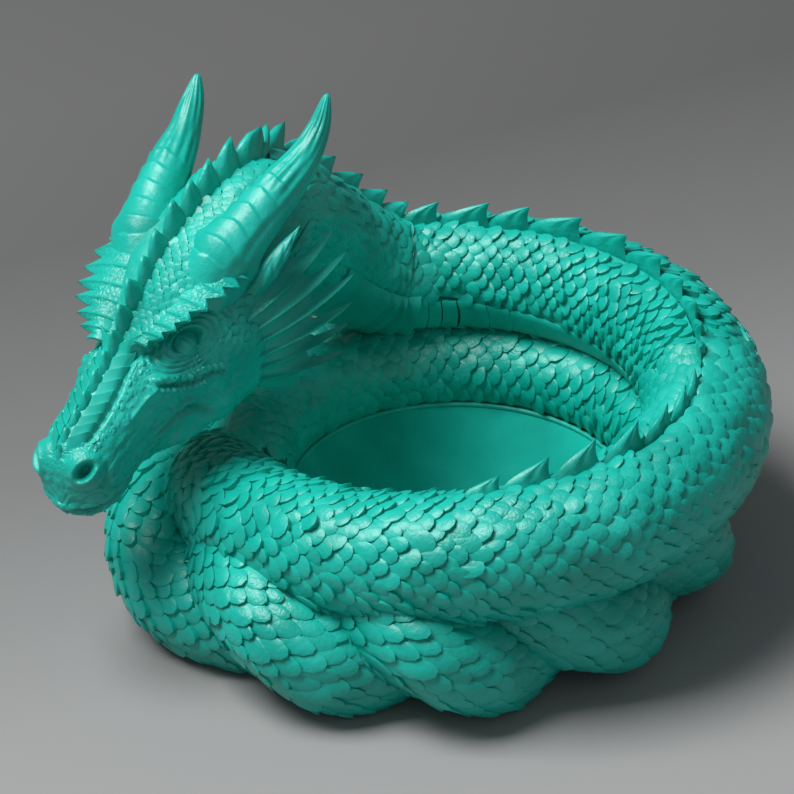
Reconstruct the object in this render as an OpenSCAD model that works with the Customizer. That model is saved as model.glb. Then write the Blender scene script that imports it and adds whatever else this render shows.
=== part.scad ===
/* [Bowl] */
// Radius of the bowl at its lip
lip_radius = 45; // [43:0.5:46]
// Height of the bowl lip above the table
lip_height = 22; // [20:0.5:24]
// Thickness of the bowl floor at its lowest point
floor_thickness = 4; // [3:0.5:6]

/* [Body coils] */
// Radius of the circle the upper coil follows
coil_radius = 64.8; // [64:0.1:65.6]
// Thickness of the body, as a tube radius
body_radius = 15.6; // [15:0.1:16.4]
// Radius of the circle the twisted base ring follows
twist_ring_radius = 64.1; // [63.8:0.1:65]
// Tube radius of each strand in the twisted base ring
strand_radius = 14; // [13.8:0.1:14.6]
// How far each strand swings away from the ring line
strand_offset = 7.4; // [7:0.1:7.8]

/* [Ridge] */
// Number of fins along the back of the upper coil
back_fin_count = 19; // [17:1:21]
// Height of the tallest back fin
back_fin_height = 6.5; // [5:0.5:8]
// Number of tall blades along the neck
neck_fin_count = 8; // [7:1:9]
// Height of the tallest neck blade
neck_fin_height = 8; // [6:0.5:9]

/* [Head] */
// Length of each horn along its own curve, as a share of the normal one
horn_stretch = 1; // [0.9:0.05:1.1]
// Radius of each horn at its root
horn_root_radius = 7.6; // [7:0.1:8.2]
// Radius of each eyeball
eye_radius = 4.2; // [3.8:0.1:4.6]

/* [Assembly] */
// Gap left between two glued pieces
glue_gap = 0.3; // [0.25:0.01:0.35]

/* [Hidden] */

skin_colour = "mediumturquoise";
dish_wall = 1.2;
dish_radius = lip_radius + dish_wall;
bowl_rise = lip_height - floor_thickness;
bowl_sphere = (lip_radius * lip_radius + bowl_rise * bowl_rise) / (2 * bowl_rise);
ring_sides = 18;
ring_shift = [-11.8, -0.6];
ring_height = 18.6;
strand_squash = 0.8;
strand_start = 184;
keel_half_angle = 7;
keel_depth = 1.2;
belly_raise = 0.9;
peg_radius = 5;
peg_length = 7;
peg_gap = 0.15;
liner_gap = glue_gap * 1.3;
head_at = [-55, 12.2, 95.9];
head_turn = [7.2, 25.7, 234.9];

// ---------- small helpers ----------
function unit(v) = v / norm(v);
function mix(a, b, t) = a + (b - a) * t;
function ease(t) = t * t * (3 - 2 * t);
function flip(p, s) = [p[0], p[1] * s, p[2]];
// a smooth curve through a few hand-placed points
function blend(a, b, c, d, u) =
    0.5 * (2 * b + (c - a) * u + (2 * a - 5 * b + 4 * c - d) * u * u
           + (3 * b - a - 3 * c + d) * u * u * u);
function through(p, t) =
    let (n = len(p) - 1, k = min(floor(t * n), n - 1), u = t * n - k,
         a = k > 0 ? p[k - 1] : 2 * p[0] - p[1],
         d = k < n - 1 ? p[k + 2] : 2 * p[n] - p[n - 1])
    blend(a, p[k], p[k + 1], d, u);

// the two side directions of a tube at one place on its path
function side_dir(along) = unit(cross(along, [0, 0, 1]));
function up_dir(along) = cross(side_dir(along), along);
function on_tube(c, along, r, angle) =
    c + r * (cos(angle) * side_dir(along) + sin(angle) * up_dir(along));

// ---------- body paths, each giving [x, y, z, radius] ----------
coil_first = 100;
coil_last = -190;
coil_drop = [[-190, 15], [-184, 20], [-172, 27.5], [-155, 33], [-130, 38], [-90, 43],
             [-40, 46.6], [0, 49.8], [35, 53], [70, 53.8], [100, 53.6], [130, 53.4]];
function coil_high(a) = (lookup(a - 4, coil_drop) + lookup(a, coil_drop) + lookup(a + 4, coil_drop)) / 3;
function coil_thick(a) = body_radius + 0.4 * cos(a + 60);
function coil_at(a) =
    [coil_radius * cos(a), coil_radius * sin(a), coil_high(a), coil_thick(a)];

inner_first = -176;
inner_last = -490;
inner_radius = 57.2;
function inner_at(a) =
    let (t = (inner_first - a) / (inner_first - inner_last))
    [inner_radius * cos(a), inner_radius * sin(a), 28 + 1.5 * t, body_radius - 3.2];

neck_line = [[-11.3, 63.8, 53.6, 15.3], [-20.5, 61.8, 56.2, 15.8], [-29.5, 57.3, 62.2, 16.3],
             [-37.8, 50.5, 70.8, 16.5], [-45, 41, 80.5, 16.6], [-50.2, 30, 89.5, 16.6],
             [-54, 17, 96.5, 16.2]];
function neck_at(t) = through(neck_line, t);

// strand lobes crowd at the front and stretch out at the back
lobe_spots = [[0, -56], [1, -20], [2, 16], [3, 52], [4, 88], [5, 126], [6, 165], [7, 204],
              [8, 246], [9, 276], [10, 309], [11, 345], [12, 376], [13, 412], [14, 448],
              [15, 486], [16, 525], [17, 564]];
lobe_from_angle = [for (q = lobe_spots) [q[1], q[0] * 180]];
function twist_phase(a) =
    (lookup(a - 9, lobe_from_angle) + lookup(a, lobe_from_angle) + lookup(a + 9, lobe_from_angle)) / 3;
// a strand is round, but flat where it lies against its neighbour
strand_sides = 14;
function strand_slice(a, turn, grow) =
    let (w = twist_phase(a) + turn, swing = strand_offset * [cos(w), -strand_squash * sin(w)],
         d = norm(swing), u = swing / d, flat = glue_gap / 2 - grow)
    [for (k = [0:strand_sides - 1])
        let (p = max(flat, d + (strand_radius + grow) * cos(360 * k / strand_sides)),
             q = (strand_radius + grow) * sin(360 * k / strand_sides),
             r = twist_ring_radius + p * u[0] - q * u[1])
            [ring_shift[0] + r * cos(a), ring_shift[1] + r * sin(a), ring_height + p * u[1] + q * u[0]]];

function path_point(kind, t) =
    kind == "coil" ? coil_at(mix(coil_first, coil_last, t)) :
    kind == "inner" ? inner_at(mix(inner_first, inner_last, t)) :
    neck_at(t);
function place(kind, t) =
    let (q = path_point(kind, t)) [q[0], q[1], q[2]];
function path_along(kind, t) =
    let (lo = max(0, t - 0.004), hi = min(1, t + 0.004))
    unit(place(kind, hi) - place(kind, lo));

// one ring of points round a path
function path_ring(kind, t, grow, n) =
    let (c = place(kind, t), r = path_point(kind, t)[3] + grow, d = path_along(kind, t))
    [for (k = [0:n - 1]) on_tube(c, d, r, 360 * k / n)];

// skin over a handful of points
module skin(pts) {
    hull() polyhedron(points = pts, faces = [[for (k = [0:len(pts) - 1]) k]]);
}
// one closed solid through a row of slices with equally many points each
module sweep(slices, turned = false) {
    n = len(slices[0]);
    last = len(slices) - 1;
    sides = [for (k = [0:last - 1], j = [0:n - 1])
        let (a = k * n + j, b = k * n + (j + 1) % n)
            each [[a, b, b + n], [a, b + n, a + n]]];
    ends = [[for (j = [n - 1:-1:0]) j], [for (j = [0:n - 1]) last * n + j]];
    all = concat(sides, ends);
    polyhedron(points = [for (q = slices) each q],
               faces = turned ? [for (f = all) [for (j = [len(f) - 1:-1:0]) f[j]]] : all,
               convexity = 8);
}
// the same, but closing back on its first slice; crossed turns each face's diagonal the other way
module loop_sweep(slices, crossed = false) {
    n = len(slices[0]);
    count = len(slices);
    polyhedron(points = [for (q = slices) each q],
               faces = [for (k = [0:count - 1], j = [0:n - 1])
                   let (m = ((k + 1) % count) * n, a = k * n + j, b = k * n + (j + 1) % n,
                        c = m + (j + 1) % n, d = m + j)
                       each crossed ? [[a, b, d], [b, c, d]] : [[a, b, c], [a, c, d]]],
               convexity = 12);
}
module tube(kind, t0, t1, steps, grow = 0, n = ring_sides) {
    sweep([for (k = [0:steps]) path_ring(kind, mix(t0, t1, k / steps), grow, n)]);
}
// carved pieces are cut as one faceted solid
module carved() {
    resize([0, 0, 0]) children();
}
// a raised strip riding on a path between two angles round the tube
function strip_slice(kind, t, mid, half, low, high, count) =
    let (c = place(kind, t), r = path_point(kind, t)[3], d = path_along(kind, t))
    concat([for (k = [0:count]) on_tube(c, d, r + high, mid - half + 2 * half * k / count)],
           [on_tube(c, d, r + low, mid + half), on_tube(c, d, r + low, mid - half)]);

coil_steps = 49;
inner_steps = 38;
neck_steps = 12;
strand_steps = 62;
module coil_body(grow = 0) {
    tube("coil", 0, 1, coil_steps, grow);
}
liner_foot = lip_height + 0.6;
module inner_body(grow = 0) {
    difference() {
        tube("inner", 0, 1, inner_steps, grow, 16);
        translate([0, 0, -5 - grow]) cylinder(h = liner_foot + 5, r = 100, $fn = 32);
        difference() {
            cylinder(h = 80, r = 120, $fn = 32);
            translate([ring_shift[0] * 0.75, 3, -1]) cylinder(h = 82, r = 62 + grow, $fn = 72);
        }
    }
}
module strand_body(turn, grow = 0, steps = strand_steps) {
    loop_sweep([for (k = [0:steps - 1]) strand_slice(strand_start + 360 * k / steps, turn, grow)], turn > 0);
}
// room kept for the inner coil just above the bowl lip
module liner_room() {
    translate([0, 0, lip_height - 1]) cylinder(h = 40, r = dish_radius + 0.8, $fn = 64);
    translate([0, 0, 32.5]) cylinder(h = 30, r = 51, $fn = 64);
}
module dish_clearance() {
    cylinder(h = lip_height + glue_gap, r = dish_radius + glue_gap, $fn = 64);
}
module below_table() {
    translate([-130, -130, -60]) cube([260, 260, 60]);
}

// ---------- ridge line along the top of the body ----------
function coil_share(a) = (coil_first - a) / (coil_first - coil_last);
function ridge_angle(a) = lookup(a, [[-100, 70], [-70, 72], [-20, 80], [20, 90], [110, 90]]);
fin_pitch = 187 / (back_fin_count - 1);
keel_end = coil_share(-88);
module back_keel(grow = 0) {
    sweep([for (k = [0:30])
        let (t = mix(0.004 - grow * 0.0031, keel_end + grow * 0.0031, k / 30))
            strip_slice("coil", t, ridge_angle(mix(coil_first, coil_last, t)),
                        keel_half_angle + grow * 3.6, -keel_depth - grow, 0.5 + grow, 2)]);
}
function fin_height(k) = back_fin_height * (k < back_fin_count - 6 ? 1 - 0.25 * ease(k / back_fin_count) : 0.75)
    * (k > back_fin_count - 3 ? 0.6 : 1);
// a saw-tooth fin: long rise, short steep drop, leaning along the body
module fin(kind, t, angle, span, high, thick) {
    let (c = place(kind, t), r = path_point(kind, t)[3], d = path_along(kind, t),
         out = on_tube([0, 0, 0], d, 1, angle), across = cross(d, out))
        skin([c + out * (r - 0.9) - d * span * 0.55 + across * thick * 0.5,
              c + out * (r - 0.9) - d * span * 0.55 - across * thick * 0.5,
              c + out * (r - 0.9) + d * span * 0.42 + across * thick * 0.6,
              c + out * (r - 0.9) + d * span * 0.42 - across * thick * 0.6,
              c + out * (r + high * 0.6) - d * span * 0.12 + across * thick * 0.3,
              c + out * (r + high * 0.6) - d * span * 0.12 - across * thick * 0.3,
              c + out * (r + high) + d * span * 0.5 + across * 0.35,
              c + out * (r + high) + d * span * 0.5 - across * 0.35,
              c + out * (r + high * 0.95) + d * span * 0.33 + across * 0.5,
              c + out * (r + high * 0.95) + d * span * 0.33 - across * 0.5]);
}

// ---------- neck ridge ----------
neck_keel_end = 0.94;
module neck_keel(grow = 0) {
    sweep([for (k = [0:12])
        strip_slice("neck", mix(0.035 - grow * 0.01, neck_keel_end + grow * 0.2, k / 12), 90,
                    keel_half_angle + grow * 3.6, -keel_depth - grow, 0.5 + grow, 2)]);
}

// ---------- belly plates ----------
belly_count = 17;
belly_end = 0.37;
function belly_mid(t) = mix(-17, -58, t / belly_end);
function belly_half(t) = mix(21, 9, t / belly_end);
function belly_step(k) = mix(0.006, belly_end, k / belly_count);
module belly_strip(grow = 0) {
    sweep([for (k = [0:belly_count], h = [0, 1])
        let (t = belly_step(k) + h * 0.0016 + (2 * k / belly_count - 1) * grow * 0.003)
            strip_slice("coil", t, belly_mid(t), belly_half(t) + grow * 3.6, -0.9 - grow,
                        (h == 0 ? 0.45 : 1) * belly_raise + grow, 4)]);
}

// the plates carry on along the throat
throat_count = 7;
module throat_strip(grow = 0) {
    sweep([for (k = [0:throat_count], h = [0, 1])
        let (t = mix(0.03, 0.56, k / throat_count) + h * 0.006 + (2 * k / throat_count - 1) * grow * 0.012)
            strip_slice("neck", t, 197 + 24 * t, 21 - 8 * t + grow * 3.6, -0.9 - grow,
                        (h == 0 ? 0.45 : 1) * belly_raise + grow, 4)], false);
}
module throat_plates() {
    color(skin_colour) carved() throat_strip();
}

// ---------- head ----------
// stations along the head: distance, top, bottom, half width
head_stations = [[-12, 13.5, -11, 13.5], [-4, 18, -15, 17], [6, 20.4, -18.5, 19.4],
                 [16, 21.4, -21.5, 21], [26, 21.4, -23, 21.6], [36, 19.8, -22, 20],
                 [45, 16.8, -19, 17.4], [54, 13.8, -16, 14.6], [63, 12, -13.5, 12.4],
                 [72, 10.4, -13, 11.4], [80, 9.4, -14.2, 11.8], [86, 7, -14, 11],
                 [90, 3, -12.5, 8.6], [92.5, -2, -8.5, 4.2]];
head_sides = 22;
// the forehead is broad and flat, the underside round
function bend(v, s) = sign(v) * pow(abs(v), s > 0 ? 0.74 : 0.95);
function roof(s) = s > 0 ? 1 - 0.16 * s : 1 - 0.12 * s * s;
function head_ring(q, grow) =
    let (mid = (q[1] + q[2]) / 2, high = (q[1] - q[2]) / 2 + grow, wide = q[3] + grow)
    [for (k = [0:head_sides - 1])
        let (a = 360 * (k + 0.5) / head_sides, s = sin(a))
        [q[0], wide * bend(cos(a), s) * roof(s), mid + high * bend(s, s)]];
function station(t) = through(head_stations, t);
head_steps = 20;
module head_solid(grow = 0) {
    sweep([for (k = [0:head_steps])
        head_ring(station(k / head_steps) + [k == 0 ? -grow : k == head_steps ? grow : 0, 0, 0, 0], grow)],
        true);
}
// the height of the top of the head at one distance along it
function head_top(x) = lookup(x, [for (q = head_stations) [q[0], q[1]]]);
function head_low(x) = lookup(x, [for (q = head_stations) [q[0], q[2]]]);
function head_wide(x) = lookup(x, [for (q = head_stations) [q[0], q[3]]]);
function head_skin(x, s, side) =
    let (mid = (head_top(x) + head_low(x)) / 2, high = (head_top(x) - head_low(x)) / 2)
    [x, side * head_wide(x) * bend(cos(s), 1) * roof(sin(s)), mid + high * bend(sin(s), 1)];
// the mouth line, seen from the side
mouth_line = [[99, -6.2], [80, -7.4], [72, -7], [60, -5.2], [52.6, -7], [47, -11], [41, -17],
              [33, -27], [33, -50], [99, -50]];
module mouth_block(grow = 0) {
    rotate([90, 0, 0])
        linear_extrude(height = 70, center = true)
            offset(delta = grow) polygon(mouth_line);
}
module head_place() {
    translate(head_at) rotate(head_turn) children();
}
// a small round tenon pointing along one direction
module tenon(at, toward, grow = 0) {
    let (d = unit(toward))
        translate(at)
            rotate([0, acos(d[2]), atan2(d[1], d[0])])
                translate([0, 0, -1]) cylinder(h = 5 + grow, r = 1.6 + grow, $fn = 16);
}

// ---------- horns ----------
function horn_line(side) = [for (q = [[20, 13.4, 15.4], [9.5, 16.4, 17.6], [-0.8, 18.5, 18.9],
    [-10.3, 20.2, 20.2], [-18.8, 21.4, 23.6], [-26, 22.1, 29.2]]) flip(q, side)];
function horn_bore(t) = horn_root_radius * pow(1 - t, 0.72) * min(1, 0.6 + 5 * t) + 0.5;
function horn_ring(side, t, grow) =
    let (u = t * horn_stretch > 1 ? 1 : t, line = horn_line(side), c = through(line, u),
         root = line[0], far = root + (c - root) * horn_stretch,
         d = unit(through(line, min(1, u + 0.02)) - through(line, max(0, u - 0.02))))
    [for (k = [0:11]) on_tube(far, d, horn_bore(t) + grow, 30 * k)];
horn_steps = 18;
module horn(side, grow = 0) {
    sweep([for (k = [0:horn_steps]) horn_ring(side, k / horn_steps, grow)
        - [for (j = [0:11]) [0, 0, k == 0 ? grow : 0]]]);
}

// ---------- eyes, brows, ears, frills ----------
function eye_at(side) = [43.5, side * 13, 6.6];
module eyeball(side, grow = 0) {
    translate(eye_at(side)) sphere(r = eye_radius + grow, $fn = 20);
}
function brow_line(side) = [for (q = [[56, 6.6, 12.6], [49, 10.4, 14.4], [40, 14.8, 14.8],
    [31, 18.8, 13.4], [25, 20.6, 11.2]]) flip(q, side)];
function brow_slice(side, t, grow) =
    let (c = through(brow_line(side), t), w = 1.9 + 0.5 * sin(180 * t) + grow)
    [for (k = [0:7]) c + [0, w * cos(45 * k), (w + 0.3) * sin(45 * k)]];
module brow_bar(side, grow = 0) {
    sweep([for (k = [0:10]) brow_slice(side, k / 10, grow)
        + [for (j = [0:7]) [k == 0 ? grow : k == 10 ? -grow : 0, 0, 0]]]);
}
module thorn(base, tip, radius) {
    let (d = unit(tip - base), s = unit(cross(d, [0.3, 0.2, 1])), u = cross(s, d))
        skin(concat([for (k = [0:4]) base + radius * (cos(72 * k) * s + sin(72 * k) * u)],
                    [for (k = [0:2]) tip + 0.25 * (cos(120 * k) * s + sin(120 * k) * u)]));
}

// a leaf: a flat blade with a thick middle rib
module leaf(root, tip, wide, thick, lean) {
    let (d = unit(tip - root), span = norm(tip - root), s = unit(cross(d, lean)), u = cross(s, d))
        for (k = [0:4])
            let (t0 = k / 5, t1 = (k + 1) / 5, w0 = wide * sqrt(sin(25 + 150 * t0)) * (1 - 0.55 * t0),
                 w1 = wide * sqrt(sin(25 + 150 * t1)) * (1 - 0.55 * t1),
                 a = root + d * span * t0, b = root + d * span * t1)
                skin([a + s * w0, a - s * w0, a + u * thick * (1 - t0 * 0.7), a - u * thick * (1 - t0 * 0.7),
                      b + s * w1, b - s * w1, b + u * thick * (1 - t1 * 0.7), b - u * thick * (1 - t1 * 0.7)]);
}
ear_root = [23, 20.2, 7.4];
ear_tip = [4.6, 26.2, 13];
// the cheek frill: spines joined by thin webs
frill_roots = [[17, 18.4, 6], [18, 19.4, 1], [20, 19.6, -5], [22.5, 19.2, -11], [25.5, 18, -16], [29, 16, -20]];
frill_tips = [[-3.7, 20.4, 6.2], [-5.8, 24, 0.7], [-1.9, 28, -10.8], [4.8, 28, -18.4],
              [11.9, 26, -27.9], [20, 22, -34]];
// threads hanging from the corner of the jaw
fringe_roots = [[37.5, 13.6, -16.4], [40.5, 12.6, -15.8], [43.5, 11.6, -15.2], [46.5, 10.6, -14.8]];
fringe_tips = [[31.5, 18.5, -30], [35, 17, -29.5], [40, 15, -26], [45, 12.5, -23]];

// ---------- the pieces ----------
module bowl_dish() {
    color(skin_colour)
        difference() {
            rotate_extrude()
                polygon([[0, 0], [dish_radius - 3, 0], [dish_radius, 3], [dish_radius, lip_height],
                         [0, lip_height]]);
            translate([0, 0, floor_thickness + bowl_sphere]) sphere(r = bowl_sphere);
        }
}

module twist_coil_a() {
    color(skin_colour) carved()
        difference() {
            strand_body(0);
            belly_strip(glue_gap);
            dish_clearance();
            liner_room();
            coil_body(glue_gap);
            inner_body(glue_gap);
            below_table();
        }
}

module twist_coil_b() {
    color(skin_colour) carved()
        difference() {
            strand_body(180);
            belly_strip(glue_gap);
            dish_clearance();
            liner_room();
            coil_body(glue_gap);
            inner_body(liner_gap);
            below_table();
        }
}

module upper_coil() {
    color(skin_colour) carved()
        difference() {
            coil_body();
            back_keel(glue_gap);
            belly_strip(glue_gap);
            dish_clearance();
            body_peg(peg_gap);
            below_table();
        }
}
module body_peg(grow = 0) {
    let (c = place("coil", 0), d = path_along("coil", 0))
        translate(c)
            rotate([0, acos(d[2]), atan2(d[1], d[0])])
                translate([0, 0, -2]) cylinder(h = peg_length + 2 + grow, r = peg_radius + grow, $fn = 24);
}

module middle_coil() {
    color(skin_colour) carved()
        difference() {
            inner_body();
            coil_body(glue_gap);
            belly_strip(glue_gap);
            dish_clearance();
        }
}

module neck() {
    color(skin_colour) carved()
        difference() {
            union() {
                difference() {
                    tube("neck", 0, 1, neck_steps);
                    coil_body(glue_gap);
                }
                body_peg();
            }
            head_place() head_solid(glue_gap);
            neck_keel(glue_gap);
            throat_strip(glue_gap);
            inner_body(glue_gap);
        }
}

module belly_plates() {
    color(skin_colour) carved() belly_strip();
}

module back_fins() {
    color(skin_colour) carved()
        union() {
            back_keel();
            for (k = [0:back_fin_count - 1])
                let (a = min(104 - fin_pitch * k, coil_first - 7.5))
                    fin("coil", coil_share(a), ridge_angle(a), k == 0 ? 7 : 12.4 - 0.1 * k,
                        fin_height(k), 2);
        }
}

module neck_fins() {
    color(skin_colour) carved()
        difference() {
            union() {
                neck_keel();
                for (k = [0:neck_fin_count - 1])
                    let (t = mix(0.135, 0.9, k / (neck_fin_count - 1)))
                        fin("neck", t, 90, 9 - 0.3 * k, neck_fin_height * (0.75 + 0.25 * sin(180 * t)), 2.2);
            }
            coil_body(glue_gap);
            back_keel(glue_gap);
            head_place() head_solid(glue_gap);
        }
}

module skull() {
    color(skin_colour) carved()
        head_place()
            difference() {
                head_solid();
                mouth_block(glue_gap / 2);
                for (side = [-1, 1]) {
                    eyeball(side, glue_gap);
                    brow_bar(side, glue_gap);
                    horn(side, glue_gap);
                    ear_post(side, peg_gap);
                    nostril(side);
                    eye_hollow(side);
                    plate_strip(side, glue_gap);
                }
                snout_keel(glue_gap);
            }
}
// the shallow dip each eye looks out of
module eye_hollow(side) {
    translate([44, side * 17.6, 6.4]) rotate([0, 12, 0]) scale([1.7, 0.75, 1]) sphere(r = 4.4, $fn = 20);
}
module nostril(side) {
    translate([85.2, side * 8.8, 3.4]) rotate([0, -35, side * 25]) scale([1.5, 1, 0.8])
        sphere(r = 2.2, $fn = 14);
}

module lower_jaw() {
    color(skin_colour) carved()
        head_place()
            intersection() {
                head_solid();
                mouth_block(-glue_gap / 2);
            }
}

// fins down the middle of the snout and forehead
snout_fin_count = 13;
function snout_spot(k) = mix(80, -4.5, k / (snout_fin_count - 1));
module snout_keel(grow = 0) {
    sweep([for (k = [0:14])
        let (x = mix(84 + grow, -10.4 - grow, k / 14), w = 1.1 + grow, z = head_top(x))
            [[x, w, z - 1.4 - grow], [x, w, z + 0.45 + grow], [x, -w, z + 0.45 + grow], [x, -w, z - 1.4 - grow]]]);
}
module snout_fins() {
    color(skin_colour) carved()
        head_place()
            union() {
                snout_keel();
                for (k = [0:snout_fin_count - 1])
                    let (x = snout_spot(k), z = head_top(x) - 0.8, h = 3.2 + 5.4 * k / snout_fin_count,
                         w = 2.6 + 0.12 * k)
                        skin([[x + w, -0.8, z], [x + w, 0.8, z], [x - w, -1, z], [x - w, 1, z],
                              [x - w * 1.2, -0.3, z + h], [x - w * 1.2, 0.3, z + h],
                              [x - w * 0.2, -0.5, z + h * 0.7], [x - w * 0.2, 0.5, z + h * 0.7]]);
            }
}

// overlapping slanted plates beside the snout keel
plate_count = 9;
plate_low = 58;
plate_high = 76;
function plate_spot(x, a, lift, side) =
    head_skin(x, a, side) + lift * [0, side * cos(a), sin(a)];
plate_pitch = 2.7;
plate_start = 83.2;
module plate_strip(side, grow = 0) {
    sweep([for (k = [0:plate_count])
        let (x = plate_start + grow - (plate_pitch + grow * 2 / plate_count) * k, a0 = plate_low - grow * 6,
             a1 = plate_high + grow * 5, am = (a0 + a1) / 2)
            [plate_spot(x, a0, -1.4 - grow, side), plate_spot(x, a0, 0.15 + grow, side),
             plate_spot(x, am, 0.15 + grow, side), plate_spot(x, a1, 0.15 + grow, side),
             plate_spot(x, a1, -1.4 - grow, side)]], side < 0);
}
module snout_plates(side) {
    difference() {
        union() {
            plate_strip(side);
            for (k = [0:plate_count - 1])
                let (x0 = plate_start - 0.3 - plate_pitch * k)
                    skin([for (q = [[x0, 0.35], [x0 - 2.35, 1.15]], a = [plate_low + 2, 65, 71, plate_high - 2],
                               lift = [-0.7, q[1]])
                          plate_spot(q[0], a, lift, side)]);
        }
        snout_keel(glue_gap);
    }
}
module snout_plates_left() {
    color(skin_colour) carved() head_place() snout_plates(1);
}
module snout_plates_right() {
    color(skin_colour) carved() head_place() snout_plates(-1);
}

module brow_crest(side) {
    difference() {
        union() {
            brow_bar(side);
            for (k = [0:9])
                let (t = (k + 0.5) / 10, c = through(brow_line(side), t))
                    thorn(c, c + [-3.4, side * (1.8 + 0.9 * t), 4.6], 1.8);
        }
        eyeball(side, glue_gap);
    }
}
module brow_crest_left() {
    color(skin_colour) carved() head_place() brow_crest(1);
}
module brow_crest_right() {
    color(skin_colour) carved() head_place() brow_crest(-1);
}

module eye_left() {
    color(skin_colour) head_place() eyeball(1);
}
module eye_right() {
    color(skin_colour) head_place() eyeball(-1);
}

module horn_left() {
    color(skin_colour) carved() head_place() horn(1);
}
module horn_right() {
    color(skin_colour) carved() head_place() horn(-1);
}

module ear_post(side, grow = 0) {
    let (r = flip(ear_root, side), t = flip(ear_tip, side)) tenon(r, r - t, grow);
}
module ear(side) {
    union() {
        difference() {
            leaf(flip(ear_root, side), flip(ear_tip, side), 4.4, 1.7, [0.2, side, 0.5]);
            head_solid(glue_gap);
        }
        ear_post(side);
    }
}
module ear_left() {
    color(skin_colour) carved() head_place() ear(1);
}
module ear_right() {
    color(skin_colour) carved() head_place() ear(-1);
}

module frill(side) {
    difference() {
        union() {
            for (k = [0:len(frill_roots) - 1])
                thorn(flip(frill_roots[k], side), flip(frill_tips[k], side), 2.2);
            for (k = [0:len(frill_roots) - 2])
                let (a = flip(frill_roots[k], side), b = flip(frill_roots[k + 1], side),
                     c = mix(a, flip(frill_tips[k], side), 0.58),
                     d = mix(b, flip(frill_tips[k + 1], side), 0.58), n = [0, 0.5, 0])
                    skin([a + n, a - n, b + n, b - n, c + n * 0.7, c - n * 0.7, d + n * 0.7, d - n * 0.7]);
        }
        head_solid(glue_gap);
    }
}
module cheek_frill_left() {
    color(skin_colour) carved() head_place() frill(1);
}
module cheek_frill_right() {
    color(skin_colour) carved() head_place() frill(-1);
}

module fringe(side) {
    difference() {
        union() {
            for (k = [0:len(fringe_roots) - 1])
                thorn(flip(fringe_roots[k], side), flip(fringe_tips[k], side), 2.2);
            for (k = [0:len(fringe_roots) - 2])
                let (a = flip(fringe_roots[k], side), b = flip(fringe_roots[k + 1], side),
                     c = mix(a, flip(fringe_tips[k], side), 0.5),
                     d = mix(b, flip(fringe_tips[k + 1], side), 0.5), n = [0, 0.6, 0])
                    skin([a + n, a - n, b + n, b - n, c + n, c - n, d + n, d - n]);
        }
        head_solid(glue_gap);
    }
}
module jaw_fringe_left() {
    color(skin_colour) carved() head_place() fringe(1);
}
module jaw_fringe_right() {
    color(skin_colour) carved() head_place() fringe(-1);
}

bowl_dish();
twist_coil_a();
twist_coil_b();
upper_coil();
middle_coil();
neck();
belly_plates();
throat_plates();
back_fins();
neck_fins();
skull();
lower_jaw();
snout_fins();
snout_plates_left();
snout_plates_right();
brow_crest_left();
brow_crest_right();
eye_left();
eye_right();
horn_left();
horn_right();
ear_left();
ear_right();
cheek_frill_left();
cheek_frill_right();
jaw_fringe_left();
jaw_fringe_right();
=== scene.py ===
# %% [markdown]
# # A coiled dragon dice bowl
# A dragon lies round a small dish. Its body is one upper coil, a liner coil inside it and a
# base ring of two strands twisted like rope. Its neck rises at the back left and the head
# hangs over the rim. The CAD frame is loaded first, because every piece is placed from it.

# %% Load the frame
import bpy
import bmesh
import math
import numpy as np
from mathutils import Matrix, Vector


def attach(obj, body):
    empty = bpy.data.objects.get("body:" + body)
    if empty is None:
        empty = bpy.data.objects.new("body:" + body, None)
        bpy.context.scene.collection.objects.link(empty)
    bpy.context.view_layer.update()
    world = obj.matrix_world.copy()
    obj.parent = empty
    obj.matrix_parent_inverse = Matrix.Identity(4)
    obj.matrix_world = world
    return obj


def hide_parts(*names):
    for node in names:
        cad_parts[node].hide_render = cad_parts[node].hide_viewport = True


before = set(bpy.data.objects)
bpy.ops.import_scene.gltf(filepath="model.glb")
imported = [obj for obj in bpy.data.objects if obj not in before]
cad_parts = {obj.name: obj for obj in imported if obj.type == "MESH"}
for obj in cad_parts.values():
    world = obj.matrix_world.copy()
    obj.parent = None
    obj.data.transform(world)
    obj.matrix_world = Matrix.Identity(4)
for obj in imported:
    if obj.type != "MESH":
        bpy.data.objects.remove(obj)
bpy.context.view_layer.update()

# %% [markdown]
# ## The camera
# A long lens a metre away looks down at about thirty degrees. A short lens close by would take
# in as much, but it would swell the head, which is nearest. The camera is made first, so that
# every later piece can be judged in its view.

# %% Camera
camera_data = bpy.data.cameras.new("camera")
camera_data.sensor_width = 36
camera_data.lens = 184.5
camera_data.clip_end = 20
camera = bpy.data.objects.new("camera", camera_data)
camera.location = (-0.0168, -0.9253, 0.5965)
camera.rotation_euler = (math.radians(59.5), 0, 0)
bpy.context.scene.collection.objects.link(camera)
bpy.context.scene.camera = camera
print("camera stands", round(camera.location.length, 3), "m away")

# %% [markdown]
# ## Small sums used everywhere
# The body is thought of as tubes. A place on a tube is told by how far along it lies, by the
# angle round it, where 90 is on top, and by the height above its skin. Each piece could have
# sums of its own, but shared ones keep a coil, its scales and its fins on one skin. All sums
# are in millimetres and become metres when a piece is finished.

# %% Helpers for numbers
MM = 0.001


def look(x, table):
    """A value read off a short table of given points, with straight lines between them."""
    xs, ys = zip(*table)
    return np.interp(x, xs, ys)


def unit(v):
    return v / np.maximum(np.linalg.norm(v, axis=-1, keepdims=True), 1e-9)


def bump(d, width):
    """A soft hill: 1 where d is 0, fading away over the width."""
    return np.exp(-(d / width) ** 2)


def smooth(t):
    t = np.clip(t, 0, 1)
    return t * t * (3 - 2 * t)


print("a hill one width away is", round(float(bump(1, 1)), 3))

# %% A smooth curve


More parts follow.
